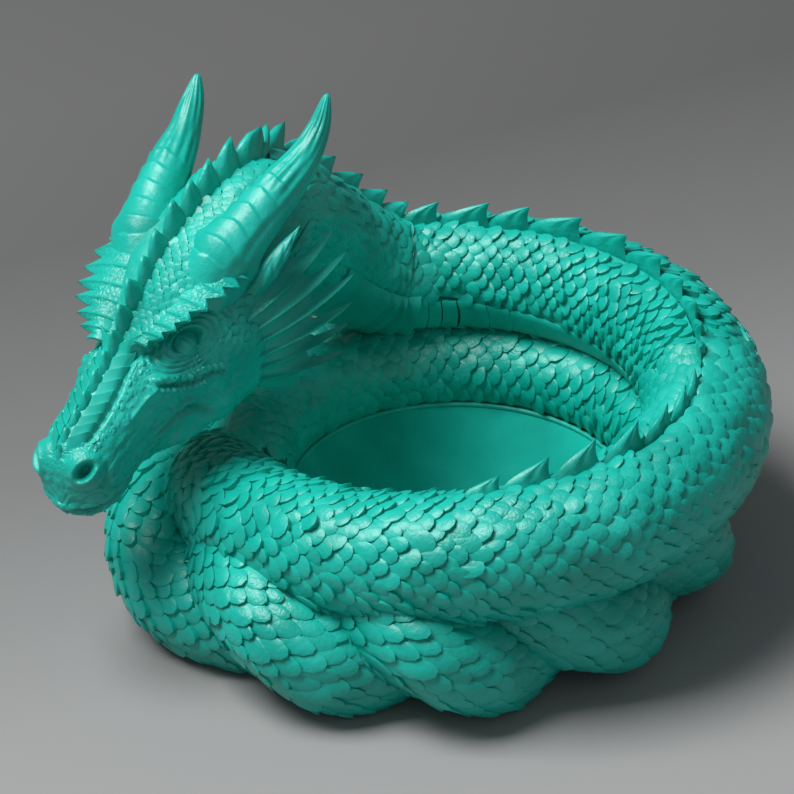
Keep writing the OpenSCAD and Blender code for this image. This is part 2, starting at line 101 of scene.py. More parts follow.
def through(points, t):
    """A smooth curve through given points, for t from 0 to 1."""
    p = np.asarray(points, float)
    n = len(p) - 1
    p = np.vstack([2 * p[0] - p[1], p, 2 * p[n] - p[n - 1]])
    s = np.atleast_1d(t) * n
    k = np.clip(np.floor(s).astype(int), 0, n - 1)
    u = (s - k)[:, None]
    a, b, c, d = p[k], p[k + 1], p[k + 2], p[k + 3]
    return 0.5 * (2 * b + (c - a) * u + (2 * a - 5 * b + 4 * c - d) * u ** 2
                  + (3 * b - a - 3 * c + d) * u ** 3)


print("halfway through a corner", through([(0, 0), (1, 1), (2, 0)], 0.5).round(2))

# %% [markdown]
# ## The paths of the body
# These are the same curves as in the CAD: the upper coil drops slowly as it goes round and
# dives under the jaw, the liner coil lies inside it, and the neck climbs to the head. A path
# could be a curve object, but a function of one number can be asked for any place on it.

# %% The upper coil's path
COIL_RADIUS, BODY_RADIUS = 64.8, 15.6
COIL_FIRST, COIL_LAST = 100, -190
# azimuth and height of the coil's middle
COIL_DROP = [(-200, 8), (-190, 15), (-184, 20), (-172, 27.5), (-155, 33), (-130, 38), (-90, 43),
             (-40, 46.6), (0, 49.8), (35, 53), (70, 53.8), (100, 53.6), (130, 53.4)]


def coil_path(s):
    """The upper coil, by azimuth in degrees."""
    a = np.radians(s)
    high = (look(s - 4, COIL_DROP) + look(s, COIL_DROP) + look(s + 4, COIL_DROP)) / 3
    return (np.stack([COIL_RADIUS * np.cos(a), COIL_RADIUS * np.sin(a), high], 1),
            BODY_RADIUS + 0.4 * np.cos(a + np.radians(60)))


print("the coil's middle at the front", coil_path(np.array([-90.0]))[0].round(1))

# %% The liner's path
LINER_RADIUS, LINER_BODY = 57.2, 12.4
LINER_FIRST, LINER_TURN = 184, 314


def liner_path(s):
    """The inner coil, by azimuth in degrees from 184 down to -130."""
    a = np.radians(s)
    t = (LINER_FIRST - s) / LINER_TURN
    return (np.stack([LINER_RADIUS * np.cos(a), LINER_RADIUS * np.sin(a), 28 + 1.5 * t], 1),
            LINER_BODY + 0 * a)


print("the liner's middle at the right", liner_path(np.array([0.0]))[0].round(1))

# %% The neck's path
# x, y, z and radius, from the foot to the nape
NECK_LINE = [(-11.3, 63.8, 53.6, 15.3), (-20.5, 61.8, 56.2, 15.8), (-29.5, 57.3, 62.2, 16.3),
             (-37.8, 50.5, 70.8, 16.5), (-45, 41, 80.5, 16.6), (-50.2, 30, 89.5, 16.6),
             (-54, 17, 96.5, 16.2)]
NECK_LENGTH, NECK_BODY = 82, 16


def neck_path(s):
    """The neck, from 0 at its foot to 1 at the nape, with its own radius at each place."""
    q = through(NECK_LINE, s)
    return q[:, :3], q[:, 3]


print("halfway up the neck", neck_path(np.array([0.5]))[0].round(1))

# %% Places on a tube


def tube_place(path, s, angle, lift, step=0.5):
    """Places on a tube: s along it, the angle round it in degrees and the height above the skin."""
    c, r = path(s)
    along = unit(path(s + step)[0] - path(s - step)[0])
    side = unit(np.cross(along, [0, 0, 1.0]))
    if path is not neck_path:
        side, along = -side, -along
    up = np.cross(side, along)
    w = np.radians(angle)[:, None]
    return c + (r + lift)[:, None] * (np.cos(w) * side + np.sin(w) * up)


def turns_per_mm(radius, body):
    """How many degrees along and round a ring of tube one millimetre is."""
    return 180 / math.pi / radius, 180 / math.pi / body


front = tube_place(coil_path, np.array([-90.0]), np.array([90.0]), np.array([0.0]))
print("top of the coil at the front", front.round(1))

# %% [markdown]
# ## The finish
# The whole piece is cast in one teal resin with a satin skin: soft highlights, a fine grain,
# and a colour that drifts a little between deeper and paler. An image could carry this, but
# noise in the material has no seams and follows every shape. The grain is a bump of fine noise,
# and on the scales and the face the edges of small cells add faint cracks, in patches only. The
# dish is duller than the rest, so that no lamp is mirrored in it.

# %% Colours and their drift
TEAL = (0.002, 0.440, 0.355, 1)
DEEP = (0.001, 0.360, 0.288, 1)
PALE = (0.012, 0.515, 0.425, 1)


def add_node(tree, kind, **sockets):
    """A new shader node with its sockets set, From_Min standing for From Min."""
    node = tree.nodes.new("ShaderNode" + kind)
    for socket, value in sockets.items():
        node.inputs[socket.replace("_", " ")].default_value = value
    return node


def mottle(tree, where, shader):
    """Teal that drifts between its deeper and its paler tone."""
    tone = add_node(tree, "TexNoise", Scale=60, Detail=4)
    ramp = add_node(tree, "ValToRGB")
    low, high = ramp.color_ramp.elements
    low.position, low.color = 0.3, DEEP
    high.position, high.color = 0.75, PALE
    ramp.color_ramp.elements.new(0.52).color = TEAL
    tree.links.new(where.outputs["Object"], tone.inputs["Vector"])
    tree.links.new(tone.outputs["Fac"], ramp.inputs["Fac"])
    tree.links.new(ramp.outputs["Color"], shader.inputs["Base Color"])


print("teal", TEAL[:3], "between", DEEP[:3], "and", PALE[:3])

# %% Grain and cracks


def grained(tree, where, strength, size):
    """A bump of fine noise."""
    fine = add_node(tree, "TexNoise", Scale=size, Detail=5)
    grain = add_node(tree, "Bump", Strength=strength, Distance=0.0004)
    tree.links.new(where.outputs["Object"], fine.inputs["Vector"])
    tree.links.new(fine.outputs["Fac"], grain.inputs["Height"])
    return grain


def cracked(tree, where, grain, strength, size):
    """A bump of cell edges on top of the grain, only where a broad noise is high."""
    cell = add_node(tree, "TexVoronoi", Scale=size)
    cell.feature = "DISTANCE_TO_EDGE"
    edges = add_node(tree, "MapRange", From_Max=0.18)
    patch = add_node(tree, "TexNoise", Scale=45)
    some = add_node(tree, "MapRange", From_Min=0.45, From_Max=0.62, To_Max=strength)
    cracks = add_node(tree, "Bump", Distance=0.0006)
    tree.links.new(where.outputs["Object"], cell.inputs["Vector"])
    tree.links.new(cell.outputs["Distance"], edges.inputs["Value"])
    tree.links.new(where.outputs["Object"], patch.inputs["Vector"])
    tree.links.new(patch.outputs["Fac"], some.inputs["Value"])
    tree.links.new(some.outputs["Result"], cracks.inputs["Strength"])
    tree.links.new(edges.outputs["Result"], cracks.inputs["Height"])
    tree.links.new(grain.outputs["Normal"], cracks.inputs["Normal"])
    return cracks


print("bump helpers ready")

# %% The six finishes


def resin(name, grain, grain_size, crackle=0.0, crackle_size=330, rough=0.4, shine=0.52):
    """Satin teal resin: grain and crackle are bump strengths, their sizes are repeats per metre."""
    material = bpy.data.materials.new(name)
    material.use_nodes = True
    tree = material.node_tree
    shader = tree.nodes["Principled BSDF"]
    shader.inputs["Roughness"].default_value = rough
    shader.inputs["IOR"].default_value = 1.5
    shader.inputs["Specular IOR Level"].default_value = shine
    where = add_node(tree, "TexCoord")
    mottle(tree, where, shader)
    skin = grained(tree, where, grain, grain_size)
    if crackle:
        skin = cracked(tree, where, skin, crackle, crackle_size)
    tree.links.new(skin.outputs["Normal"], shader.inputs["Normal"])
    return material


resin_skin = resin("resin_skin", 0.6, 520)
resin_scale = resin("resin_scale", 0.6, 560, crackle=0.12, crackle_size=520)
resin_smooth = resin("resin_smooth", 0.2, 260, rough=0.45)
resin_dish = resin("resin_dish", 0.15, 200, rough=0.7, shine=0.12)
resin_face = resin("resin_face", 0.6, 520, crackle=0.3, crackle_size=700)
resin_horn = resin("resin_horn", 0.6, 420)
print("finishes", [m.name for m in bpy.data.materials if m.name.startswith("resin")])

# %% [markdown]
# ## Finishing a piece
# Every piece ends the same way: its mesh is set into metres, hard edges are marked by angle,
# it gets its finish, rides on the one body and hides the CAD solid that it stands for. Points
# could be moved one by one, but whole lists are read and written at once, which is much faster.

# %% Reading and writing points


def read_points(mesh):
    co = np.zeros(len(mesh.vertices) * 3, np.float32)
    mesh.vertices.foreach_get("co", co)
    return co.reshape(-1, 3).astype(float)


def write_points(mesh, points):
    mesh.vertices.foreach_set("co", np.asarray(points, np.float32).ravel())
    mesh.update()


print("one millimetre is", MM, "of Blender's units")

# %% Finish a piece


def finish_mesh(name, mesh, material, stands_for=(), sharp=40):
    """Set a mesh into metres and make it a piece, with edges over sharp degrees kept hard."""
    mesh.name = name
    write_points(mesh, read_points(mesh) * MM)
    mesh.materials.clear()
    mesh.materials.append(material)
    mesh.shade_smooth()
    mesh.set_sharp_from_angle(angle=math.radians(sharp))
    piece = bpy.data.objects.new(name, mesh)
    bpy.context.scene.collection.objects.link(piece)
    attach(piece, "root")
    if stands_for:
        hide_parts(*stands_for)
    mesh.calc_loop_triangles()
    print(name, len(mesh.loop_triangles), "triangles")
    return piece


def mesh_of(bm, name):
    mesh = bpy.data.meshes.new(name)
    bm.to_mesh(mesh)
    bm.free()
    return mesh


def finish_piece(name, bm, material, stands_for=(), sharp=40):
    return finish_mesh(name, mesh_of(bm, name), material, stands_for, sharp)


def place_points(bm, points):
    for v, place in zip(bm.verts, points):
        v.co = place


print("finishing helpers ready")

# %% Copies in a row, and a flat sheet


def copies(shape, count):
    """One mesh holding count copies of a small shape, laid in a row by an Array modifier."""
    holder = bpy.data.objects.new("row", shape)
    bpy.context.scene.collection.objects.link(holder)
    row = holder.modifiers.new("row", "ARRAY")
    row.count = count
    row.use_relative_offset = False
    row.use_constant_offset = True
    row.constant_offset_displace = (3, 0, 0)
    bpy.context.view_layer.update()
    graph = bpy.context.evaluated_depsgraph_get()
    mesh = bpy.data.meshes.new_from_object(holder.evaluated_get(graph))
    bpy.data.objects.remove(holder)
    return mesh


def sheet_mesh(nx, ny):
    """A flat grid of nx by ny faces, with x and y from 0 to 1, ready to be bent."""
    bm = bmesh.new()
    bmesh.ops.create_grid(bm, x_segments=nx, y_segments=ny, size=0.5)
    bmesh.ops.translate(bm, verts=bm.verts, vec=(0.5, 0.5, 0))
    return bm


def columns(bm):
    """The x, y and z of all points, as three lists."""
    return np.array([v.co[:] for v in bm.verts]).T


print("row and sheet tools ready")

# %% [markdown]
# ## One scale
# A scale is a small domed shield: round at its free tip, a little narrower at its tail, flat on
# top with a soft edge. Its tip stands proud of the skin and its tail is sunk under the
# neighbours. A circle is extruded, its top is inset twice and poked, and the points are pushed
# into the shield shape. It has only about fifty faces, because thousands of copies are needed.

# %% The scale shape


def scale_shape(sides=12):
    bm = bmesh.new()
    bmesh.ops.create_circle(bm, cap_ends=True, segments=sides, radius=1)
    raised = bmesh.ops.extrude_face_region(bm, geom=list(bm.faces), use_keep_orig=True)["geom"]
    top_face = [f for f in raised if isinstance(f, bmesh.types.BMFace)]
    top_points = [v for v in raised if isinstance(v, bmesh.types.BMVert)]
    bmesh.ops.translate(bm, verts=top_points, vec=(0, 0, 1))
    bmesh.ops.inset_region(bm, faces=top_face, thickness=0.1, depth=0.16, use_even_offset=True)
    bmesh.ops.inset_region(bm, faces=top_face, thickness=0.42, depth=0.13, use_even_offset=True)
    bmesh.ops.poke(bm, faces=top_face, offset=0.04)
    bmesh.ops.recalc_face_normals(bm, faces=bm.faces)
    for v in bm.verts:
        x, y, z = v.co
        v.co.y = y * (1 - 0.20 * max(0, -x) ** 1.5) * (1 + 0.05 * x)
    return mesh_of(bm, "scale")


one_scale = scale_shape()
scale_points = read_points(one_scale)
print("one scale has", len(one_scale.polygons), "faces and is", round(scale_points[:, 2].max(), 2), "high")

# %% [markdown]
# ## A hide of scales
# A hide starts as a list of spots on a surface. The copies are made in one row, and each copy is
# then bent onto the surface at its own spot, with its own small turn, tilt, size and height, as
# a sculptor's scales differ. The surface is any function that turns a place along, a place
# round and a height into a point, so the same hide goes on a coil, a strand, the neck or the
# forehead. Instances of one scale would be lighter, but they couldn't bend with the skin.

# %% Spots in rows, and the hand of a surface


def staggered(alongs, rounds, shift, tip):
    """Spots in rows, every second row moved along by shift; tip, 1 or -1, is the way tips point."""
    return np.array([(a + (shift if j % 2 else 0), w, tip) for j, w in enumerate(rounds) for a in alongs])


def handed(surface, spot):
    """1 where along, round and up make a right-handed set on a surface, -1 where they don't."""
    s, w = (np.array([q], float) for q in spot[:2])
    d = 1e-3
    here = surface(s, w, 0 * s)
    ahead, beside, above = surface(s + d, w, 0 * s), surface(s, w + d, 0 * s), surface(s, w, 0 * s + d)
    return 1 if np.dot(np.cross(ahead - here, beside - here)[0], (above - here)[0]) > 0 else -1


print("two rows of three spots", staggered(range(3), range(2), 0.5, 1)[:, 0])

# %% Lay a hide


def lay_hide(name, surface, spots, per_mm, length, width, lift, sink=0.55, rough=1.0, seed=1,
             sizes=None, dome=0.95):
    """Scales on a surface. per_mm turns mm along and mm round into the surface's units, and lift
    and sink say in mm how far a tip stands out and a tail goes in."""
    spots = np.asarray(spots, float)
    hand = handed(surface, spots[0])
    n = len(spots)
    r = np.random.default_rng(seed)
    turn = r.normal(0, 0.10 * rough, n)[:, None]
    grow = r.normal(1, 0.075 * rough, n) if sizes is None else sizes * r.normal(1, 0.06 * rough, n)
    grow = grow[:, None]
    tilt = r.normal(0, 0.20 * rough, n)[:, None]
    roll = r.normal(0, 0.26 * rough, n)[:, None]
    rise = r.normal(0, 0.12 * rough, n)[:, None]
    wide = r.normal(1, 0.06 * rough, n)[:, None]
    x, y, z = scale_points[None, :, 0], scale_points[None, :, 1] * wide, scale_points[None, :, 2]
    tip = spots[:, 2:3]
    u = (x * np.cos(turn) - y * np.sin(turn)) * grow
    v = (x * np.sin(turn) + y * np.cos(turn)) * grow
    size = grow if sizes is None else np.sqrt(grow)
    top = (-sink + (lift + sink) * (0.5 + 0.5 * x)) * size + rise + tilt * x + roll * y
    h = np.where(z > 0.5, top + (z - 1) * dome, -1.2 * size)
    along = spots[:, 0:1] + tip * u * length / 2 * per_mm[0]
    around = spots[:, 1:2] + hand * tip * v * width / 2 * per_mm[1]
    mesh = copies(one_scale, n)
    write_points(mesh, surface(along.ravel(), around.ravel(), h.ravel()))
    return finish_mesh(name, mesh, resin_scale, sharp=38)


print("hide tool ready")

# %% [markdown]
# ## The upper coil's hide
# Rows of scales run round the body, each row half a scale out of step with the next. On the
# back half the free tips point away from the head, and on the front half they point the other
# way. No scales lie under the ridge of fins or under the belly plates, and the rows stop below,
# where the coil rests on the strands. The hide is made as two pieces, which keeps each one light.

# %% Where the ridge and the belly run
# azimuth, and the angle round the tube where the row of fins stands
RIDGE = [(-100, 70), (-70, 72), (-20, 80), (20, 88), (60, 90), (110, 92)]


def coil_share(a):
    return (COIL_FIRST - a) / (COIL_FIRST - COIL_LAST)


def belly_mid(a):
    return -22 - 22 * coil_share(a) / 0.37


def belly_half(a):
    return 22 - 12 * coil_share(a) / 0.37


def coil_surface(s, w, h):
    return tube_place(coil_path, s, w, h)


print("the ridge at the right is at", look(0, RIDGE), "degrees, the belly at", belly_mid(0))

# %% Scales of the upper coil
SCALE_FLIP = 4                  # the azimuth where the tips change direction
coil_per_mm = turns_per_mm(COIL_RADIUS, BODY_RADIUS)


def rows_on_coil(first, last, tip, pitch, row_gap, low, high):
    """Spots between two azimuths and two angles round the tube, with pitch and gap in mm."""
    step, turn = pitch / (COIL_RADIUS * math.pi / 180), row_gap / (BODY_RADIUS * math.pi / 180)
    return staggered(np.arange(first, last, step), np.arange(low, high, turn), step / 2, tip)


back_spots = rows_on_coil(SCALE_FLIP + 2, 103, -1, 5.0, 2.85, -95, 250)
front_spots = rows_on_coil(-189, SCALE_FLIP, 1, 4.8, 2.8, -60, 262)
coil_spots = np.vstack([back_spots, front_spots])
azimuth, round_at = coil_spots[:, 0], coil_spots[:, 1]
under_ridge = (np.abs(round_at - look(azimuth, RIDGE)) < 8) & (azimuth > -90)
on_belly = (np.abs(round_at - belly_mid(azimuth)) < belly_half(azimuth) + 2) & (azimuth > -7)
coil_spots = coil_spots[~under_ridge & ~on_belly]
coil_sizes = 1 - 0.10 * np.cos(np.radians(coil_spots[:, 1]))
for label, part in (("back", coil_spots[:, 2] < 0), ("front", coil_spots[:, 2] > 0)):
    lay_hide("coil_scales_" + label, coil_surface, coil_spots[part], coil_per_mm,
             length=6.5, width=5.1, lift=1.2, rough=1.4, seed=3, sizes=coil_sizes[part])

# %% [markdown]
# ## The twisted base ring
# Two strands wind round each other like rope under the coils. Their scales are a little larger
# than the coil's and run along each strand, because they follow the twist. A strand's middle
# circles round the ring's middle line, and listed azimuths say where it has made each half
# turn, since the twist isn't even. Scales that would be buried in the dish, in the coil above,
# in the liner, in the other strand or in the table are left out.

# %% The strands' paths
RING_SHIFT = np.array([-11.8, -0.6])
RING_RADIUS, RING_HEIGHT = 64.1, 18.6
STRAND_RADIUS, STRAND_OFFSET, STRAND_SQUASH = 14, 7.4, 0.8
# azimuth, and the half turns of twist made by then
LOBES = [(-56, 0), (-20, 1), (16, 2), (52, 3), (88, 4), (126, 5), (165, 6), (204, 7), (246, 8),
         (276, 9), (309, 10), (345, 11), (376, 12), (412, 13), (448, 14), (486, 15), (525, 16), (564, 17)]


def strand_middle(s, turn):
    """How far out and how high a strand's middle lies at an azimuth."""
    phase = math.pi * (look(s - 9, LOBES) + look(s, LOBES) + look(s + 9, LOBES)) / 3 + turn
    return (RING_RADIUS + STRAND_OFFSET * np.cos(phase),
            RING_HEIGHT - STRAND_OFFSET * STRAND_SQUASH * np.sin(phase))


def strand_path(turn):
    def path(s):
        r, z = strand_middle(s, turn)
        a = np.radians(s)
        middle = np.stack([RING_SHIFT[0] + r * np.cos(a), RING_SHIFT[1] + r * np.sin(a), z], 1)
        return middle, STRAND_RADIUS + 0 * a
    return path


print("strand a at the right lies at", strand_path(0)(np.array([0.0]))[0].round(1))

# %% The strands' surface


def strand_surface(turn):
    """Places laid out square to the strand, then pulled onto the solid, whose sections are upright."""
    def surface(s, w, h):
        p = tube_place(strand_path(turn), s, w, 0 * s)
        x, y = p[:, 0] - RING_SHIFT[0], p[:, 1] - RING_SHIFT[1]
        a = np.degrees(np.arctan2(y, x))
        a = a + 360 * np.round((s - a) / 360)
        r, z = strand_middle(a, turn)
        d = unit(np.stack([np.hypot(x, y) - r, p[:, 2] - z], 1))
        out = r + d[:, 0] * (STRAND_RADIUS + h)
        high = np.maximum(z + d[:, 1] * (STRAND_RADIUS + h), 0.05)
        a = np.radians(a)
        return np.stack([RING_SHIFT[0] + out * np.cos(a), RING_SHIFT[1] + out * np.sin(a), high], 1)
    return surface


top = strand_surface(0)(np.array([0.0]), np.array([90.0]), np.zeros(1))
print("strand a's top at the right", top.round(1))

# %% Which scales of the strands show
STRAND_REACH = 70               # mm from the middle, where the pitch is measured


def inside_coil(points, spare):
    """Whether points are inside the upper coil by more than spare."""
    a = np.degrees(np.arctan2(points[:, 1], points[:, 0]))
    a = np.where(a > 101, a - 360, a)
    high = look(a, COIL_DROP)
    d = np.hypot(np.hypot(points[:, 0], points[:, 1]) - COIL_RADIUS, points[:, 2] - high)
    return (d < BODY_RADIUS - spare) & (a > -190)


def strand_spots(turn, pitch=5.2, row_gap=2.95):
    step = pitch / STRAND_REACH * 180 / math.pi
    around = row_gap / STRAND_RADIUS * 180 / math.pi
    alongs = np.arange(184, 544, 360 / round(360 / step))
    spots = staggered(alongs, np.arange(62, 330, around), step / 2, 1)
    p = strand_surface(turn)(spots[:, 0], spots[:, 1], 0 * spots[:, 0])
    from_middle = np.hypot(p[:, 0], p[:, 1])
    r, z = strand_middle(spots[:, 0], turn + math.pi)
    other = np.hypot(np.hypot(p[:, 0] - RING_SHIFT[0], p[:, 1] - RING_SHIFT[1]) - r, p[:, 2] - z)
    buried = (from_middle < 61) & (p[:, 2] > 19) & (np.abs(spots[:, 0] - 389) < 155)
    buried |= inside_coil(p, 1.5) | (from_middle < 46.6) | (p[:, 2] < 0.4) | (other < STRAND_RADIUS - 1)
    return spots[~buried]


print("strand a carries", len(strand_spots(0)), "scales")

# %% Scales of the strands
for label, turn, seed in (("a", 0, 11), ("b", math.pi, 12)):
    lay_hide("strand_scales_" + label, strand_surface(turn), strand_spots(turn),
             turns_per_mm(STRAND_REACH, STRAND_RADIUS), length=6.9, width=5.5, lift=1.15, rough=1.25,
             seed=seed)

# %% [markdown]
# ## The liner coil
# Inside the big coil a second, thinner coil shows as a band of scales above the dish. The same
# hide covers it. It could go all the way round the tube, but only the spots that show are kept:
# above the dish, and not inside the coil or the strands.

# %% Scales of the liner


def liner_surface(s, w, h):
    return tube_place(liner_path, s, w, h)


liner_spots = staggered(np.arange(-126, 184, 5.6), np.arange(-28, 100, 15.5), 2.8, -1)
liner_at = liner_surface(liner_spots[:, 0], liner_spots[:, 1], 0 * liner_spots[:, 0])
free = ~inside_coil(liner_at, 0.8) & (liner_at[:, 2] > 25.5)
free &= np.hypot(liner_at[:, 0] + 8.85, liner_at[:, 1] - 3) < 61
lay_hide("liner_scales", liner_surface, liner_spots[free], turns_per_mm(LINER_RADIUS, LINER_BODY),
         length=7.2, width=5.9, lift=0.8, rough=1.3, seed=21)

# %% [markdown]
# ## The neck
# The neck's scales leave room for the fins on top and for the throat plates below. Towards the
# nape a second hide lies over them, of long narrow scales like feathers, which soften the step
# from the neck to the head.

# %% Scales of the neck
neck_per_mm = (1 / NECK_LENGTH, 180 / math.pi / NECK_BODY)


def neck_surface(s, w, h):
    return tube_place(neck_path, s, w, h, step=0.004)


def throat_mid(t):
    return 218 + 20 * t


def throat_half(t):
    return 44 - 14 * t


neck_spots = staggered(np.arange(0.02, 1.0, 0.066), np.arange(-80, 278, 11.6), 0.033, -1)
t, around = neck_spots[:, 0], neck_spots[:, 1]
free = (np.abs(around - 90) > 8) & ((np.abs(around - 218 - 20 * t) > 42 - 14 * t) | (t > 0.57))
lay_hide("neck_scales", neck_surface, neck_spots[free], neck_per_mm,
         length=7.4, width=5.7, lift=0.8, rough=1.3, seed=22)

# %% Long scales of the nape
nape_spots = staggered(np.arange(0.60, 1.0, 0.085), np.arange(-70, 250, 8.2), 0.042, -1)
nape_spots = nape_spots[np.abs(nape_spots[:, 1] - 90) > 8]
lay_hide("nape_scales", neck_surface, nape_spots, neck_per_mm,
         length=11.5, width=3.9, lift=1.5, sink=0.5, rough=1.5, seed=23)

# %% [markdown]
# ## The belly
# Smooth, broad plates line the inside of the coil, each overlapping the next like shingles.
# They get narrower towards the right and run out into one plain tapering band. One plate is a
# flat sheet bent onto the coil, with its edges pressed down into the skin, so it needs no
# thickness of its own.

# %% One plate


def plate_mesh(surface, along0, along1, mid, half, raised, rows=8, cols=14, wave=0.0, slant=0.0,
               front_drop=0.75):
    """A curved plate between two places along. mid and half tell its middle and half its width at
    a place, raised is its height in mm, and front_drop the share that its first edge lies lower."""
    bm = sheet_mesh(rows, cols)
    x, y, _ = columns(bm)
    ex = np.interp(x, [0, 1 / rows, 2 / rows, 1 - 2 / rows, 1 - 1 / rows, 1],
                   [0, 0.004, 0.1, 0.93, 1, 1.0])
    ey = np.interp(y, [0, 1 / cols, 2 / cols, 1 - 2 / cols, 1 - 1 / cols, 1],
                   [0, 0.004, 0.06, 0.94, 0.996, 1.0])
    edge = (x < 1e-4) | (x > 1 - 1e-4) | (y < 1e-4) | (y > 1 - 1e-4)
    lip = np.clip(np.minimum(ey, 1 - ey) / 0.08, 0, 1)
    h = raised * (1 - front_drop + front_drop * ex ** 1.5) * (0.6 + 0.4 * np.sqrt(lip))
    h = h - 0.35 * raised * bump(ex - 1, 0.06)
    h = np.where(edge, -1.4, h)
    s = along0 + (along1 - along0) * ex
    bow = wave * (1 - (2 * ey - 1) ** 2) * (along1 - along0) + slant * (2 * ey - 1)
    place_points(bm, surface(s + bow, mid(s) + half(s) * (2 * ey - 1), h))
    bmesh.ops.recalc_face_normals(bm, faces=bm.faces)
    centre = np.array([(along0 + along1) / 2])
    deep = surface(centre, np.atleast_1d(mid(centre)), np.array([-30.0]))[0]
    f = max(bm.faces, key=lambda q: q.calc_area())
    if f.normal.dot(f.calc_center_median() - Vector(deep)) < 0:
        bmesh.ops.reverse_faces(bm, faces=bm.faces)
    return mesh_of(bm, "plate")


def joined(meshes):
    """Several meshes as one bmesh."""
    bm = bmesh.new()
    for m in meshes:
        bm.from_mesh(m)
    return bm


print("plate tool ready")

# %% Belly plates
SEAMS = [104, 99.7, 95.4, 90.4, 81, 73.4]
BELLY_END = -7
plates = [plate_mesh(coil_surface, a, b + 0.25, belly_mid, belly_half, 1.2, wave=0.12, front_drop=0.4)
          for a, b in zip(SEAMS[:-1], SEAMS[1:])]
plates.append(plate_mesh(coil_surface, SEAMS[-1], BELLY_END, belly_mid, belly_half, 1.0, rows=48,
                         front_drop=0.1))
finish_piece("belly_skin", joined(plates), resin_smooth, ["belly_plates"], sharp=35)

# %% Throat plates
throat_cuts = np.linspace(0.57, 0.03, 8)
plates = [plate_mesh(neck_surface, a, b + 0.004, throat_mid, throat_half, 3.4, wave=0.1, front_drop=0.5,
                     cols=24)
          for a, b in zip(throat_cuts[:-1], throat_cuts[1:])]
finish_piece("throat_skin", joined(plates), resin_smooth, ["throat_plates"], sharp=35)

# %% [markdown]
# ## Fins of the back
# A row of saw-tooth fins runs along the back, each rising slowly and dropping steeply, with its
# tip pointing the way the scales' tips do. One blade is a grid and its copy turned over, pushed
# apart in the middle and welded along the edges. An extruded outline would be quicker, but its
# sides would be flat, while a real fin is thick at its root and has veins.

# %% The blade shape


def blade_shape(nx=10, ny=6):
    """Both sides of a flat blade, x and y from 0 to 1 and z of -1 or 1 telling the side."""
    bm = sheet_mesh(nx, ny)
    extra = bmesh.ops.duplicate(bm, geom=list(bm.verts) + list(bm.edges) + list(bm.faces))["geom"]
    other = [g for g in extra if isinstance(g, bmesh.types.BMVert)]
    bmesh.ops.translate(bm, verts=bm.verts, vec=(0, 0, 1))
    bmesh.ops.translate(bm, verts=other, vec=(0, 0, -2))
    bmesh.ops.reverse_faces(bm, faces=[g for g in extra if isinstance(g, bmesh.types.BMFace)])
    return mesh_of(bm, "blade")


one_blade = blade_shape()
blade_points = read_points(one_blade)
print("one blade has", len(one_blade.polygons), "faces")

# %% Lay blades


def weld(bm, gap):
    """Close the seams of a doubled sheet and turn its faces outwards."""
    bmesh.ops.remove_doubles(bm, verts=bm.verts, dist=gap)
    bmesh.ops.recalc_face_normals(bm, faces=bm.faces)
    return bm


def lay_blades(name, surface, blades, per_mm, stands_for, tip_at, curve, hook, veins=0.10):
    """Blades on a surface. Each one says where its tip is, at and round, and its span, high, thick
    and lean, which is 1 or -1; tip_at is the tip's share of the span and hook its undercut."""
    mesh = copies(one_blade, len(blades))
    u, v, side = blade_points.T
    front = tip_at * v ** curve
    back = 1 - (1 - tip_at) * v - hook * np.sin(math.pi * v)
    x = front + (back - front) * u
    lens = (1 - (2 * u - 1) ** 4) * (1 - v ** 3) ** 0.7 * (1 - 0.45 * v)
    groove = veins * np.sin(u * 16 + v * 5) * (1 - v) * (1 - (2 * u - 1) ** 2)
    swell = np.maximum(lens + groove * (lens > 0.05), 0)
    whole = []
    for b in blades:
        ahead = b["lean"] * (x - tip_at) * b["span"]
        beside = side * b["thick"] / 2 * swell
        whole.append(surface(b["at"] + ahead * per_mm[0], b["round"] + beside * per_mm[1],
                             -1.2 + (b["high"] + 1.2) * v))
    write_points(mesh, np.vstack(whole))
    return finish_piece(name, weld(joined([mesh]), 0.003), resin_skin, stands_for, sharp=50)


print("blade tool ready")

# %% Fins of the back
# azimuth of each tip, and its height in mm
BACK_TIPS = [(94.4, 6.6), (82.2, 6.4), (72.4, 6.4), (59, 6.6), (45.4, 6.6), (33.4, 6.6), (23.4, 6.4),
             (13.6, 6), (4.5, 5.4), (-4.0, 4.8), (-12, 4.4), (-19.6, 4.4), (-29, 5), (-40.5, 6.4),
             (-54, 7.2), (-67, 6.4), (-80, 4.2)]
LEAN_FLIP = -8                  # fins past this azimuth lean the other way
fins = []
for k, (a, high) in enumerate(BACK_TIPS):
    beyond = a < LEAN_FLIP
    neighbour = BACK_TIPS[min(k + 1, 16)][0] if beyond else BACK_TIPS[k - 1][0] if k else a + 12
    span = max(abs(neighbour - a), 9) / 57.3 * COIL_RADIUS * 1.06
    fins.append({"at": a, "round": float(look(a, RIDGE)), "span": span, "high": high, "thick": 2.8,
                 "lean": 1 if beyond else -1})
lay_blades("back_blades", coil_surface, fins, coil_per_mm, ["back_fins"], 0.98, 2.3, 0.07, veins=0.34)

# %% [markdown]
# ## Fins of the neck
# On the neck the fins turn into taller, leaf-shaped blades that grow towards the nape. They
# could have a mesh of their own, but the same blade does, with its tip further forward and a
# rounder front.

# %% Fins of the neck
# place of each tip along the neck, its height and its span
NECK_TIPS = [(0.99, 8.4, 10), (0.85, 8.8, 10), (0.725, 7.6, 10), (0.59, 6.0, 10.5), (0.465, 5.4, 10.5),
             (0.335, 5.0, 10.5), (0.2, 4.8, 11)]
fins = [{"at": t, "round": 90, "span": span * 1.25, "high": high, "thick": 3.8, "lean": -1}
        for t, high, span in NECK_TIPS]
lay_blades("neck_blades", neck_surface, fins, neck_per_mm, ["neck_fins"], 0.88, 1.9, 0.02)

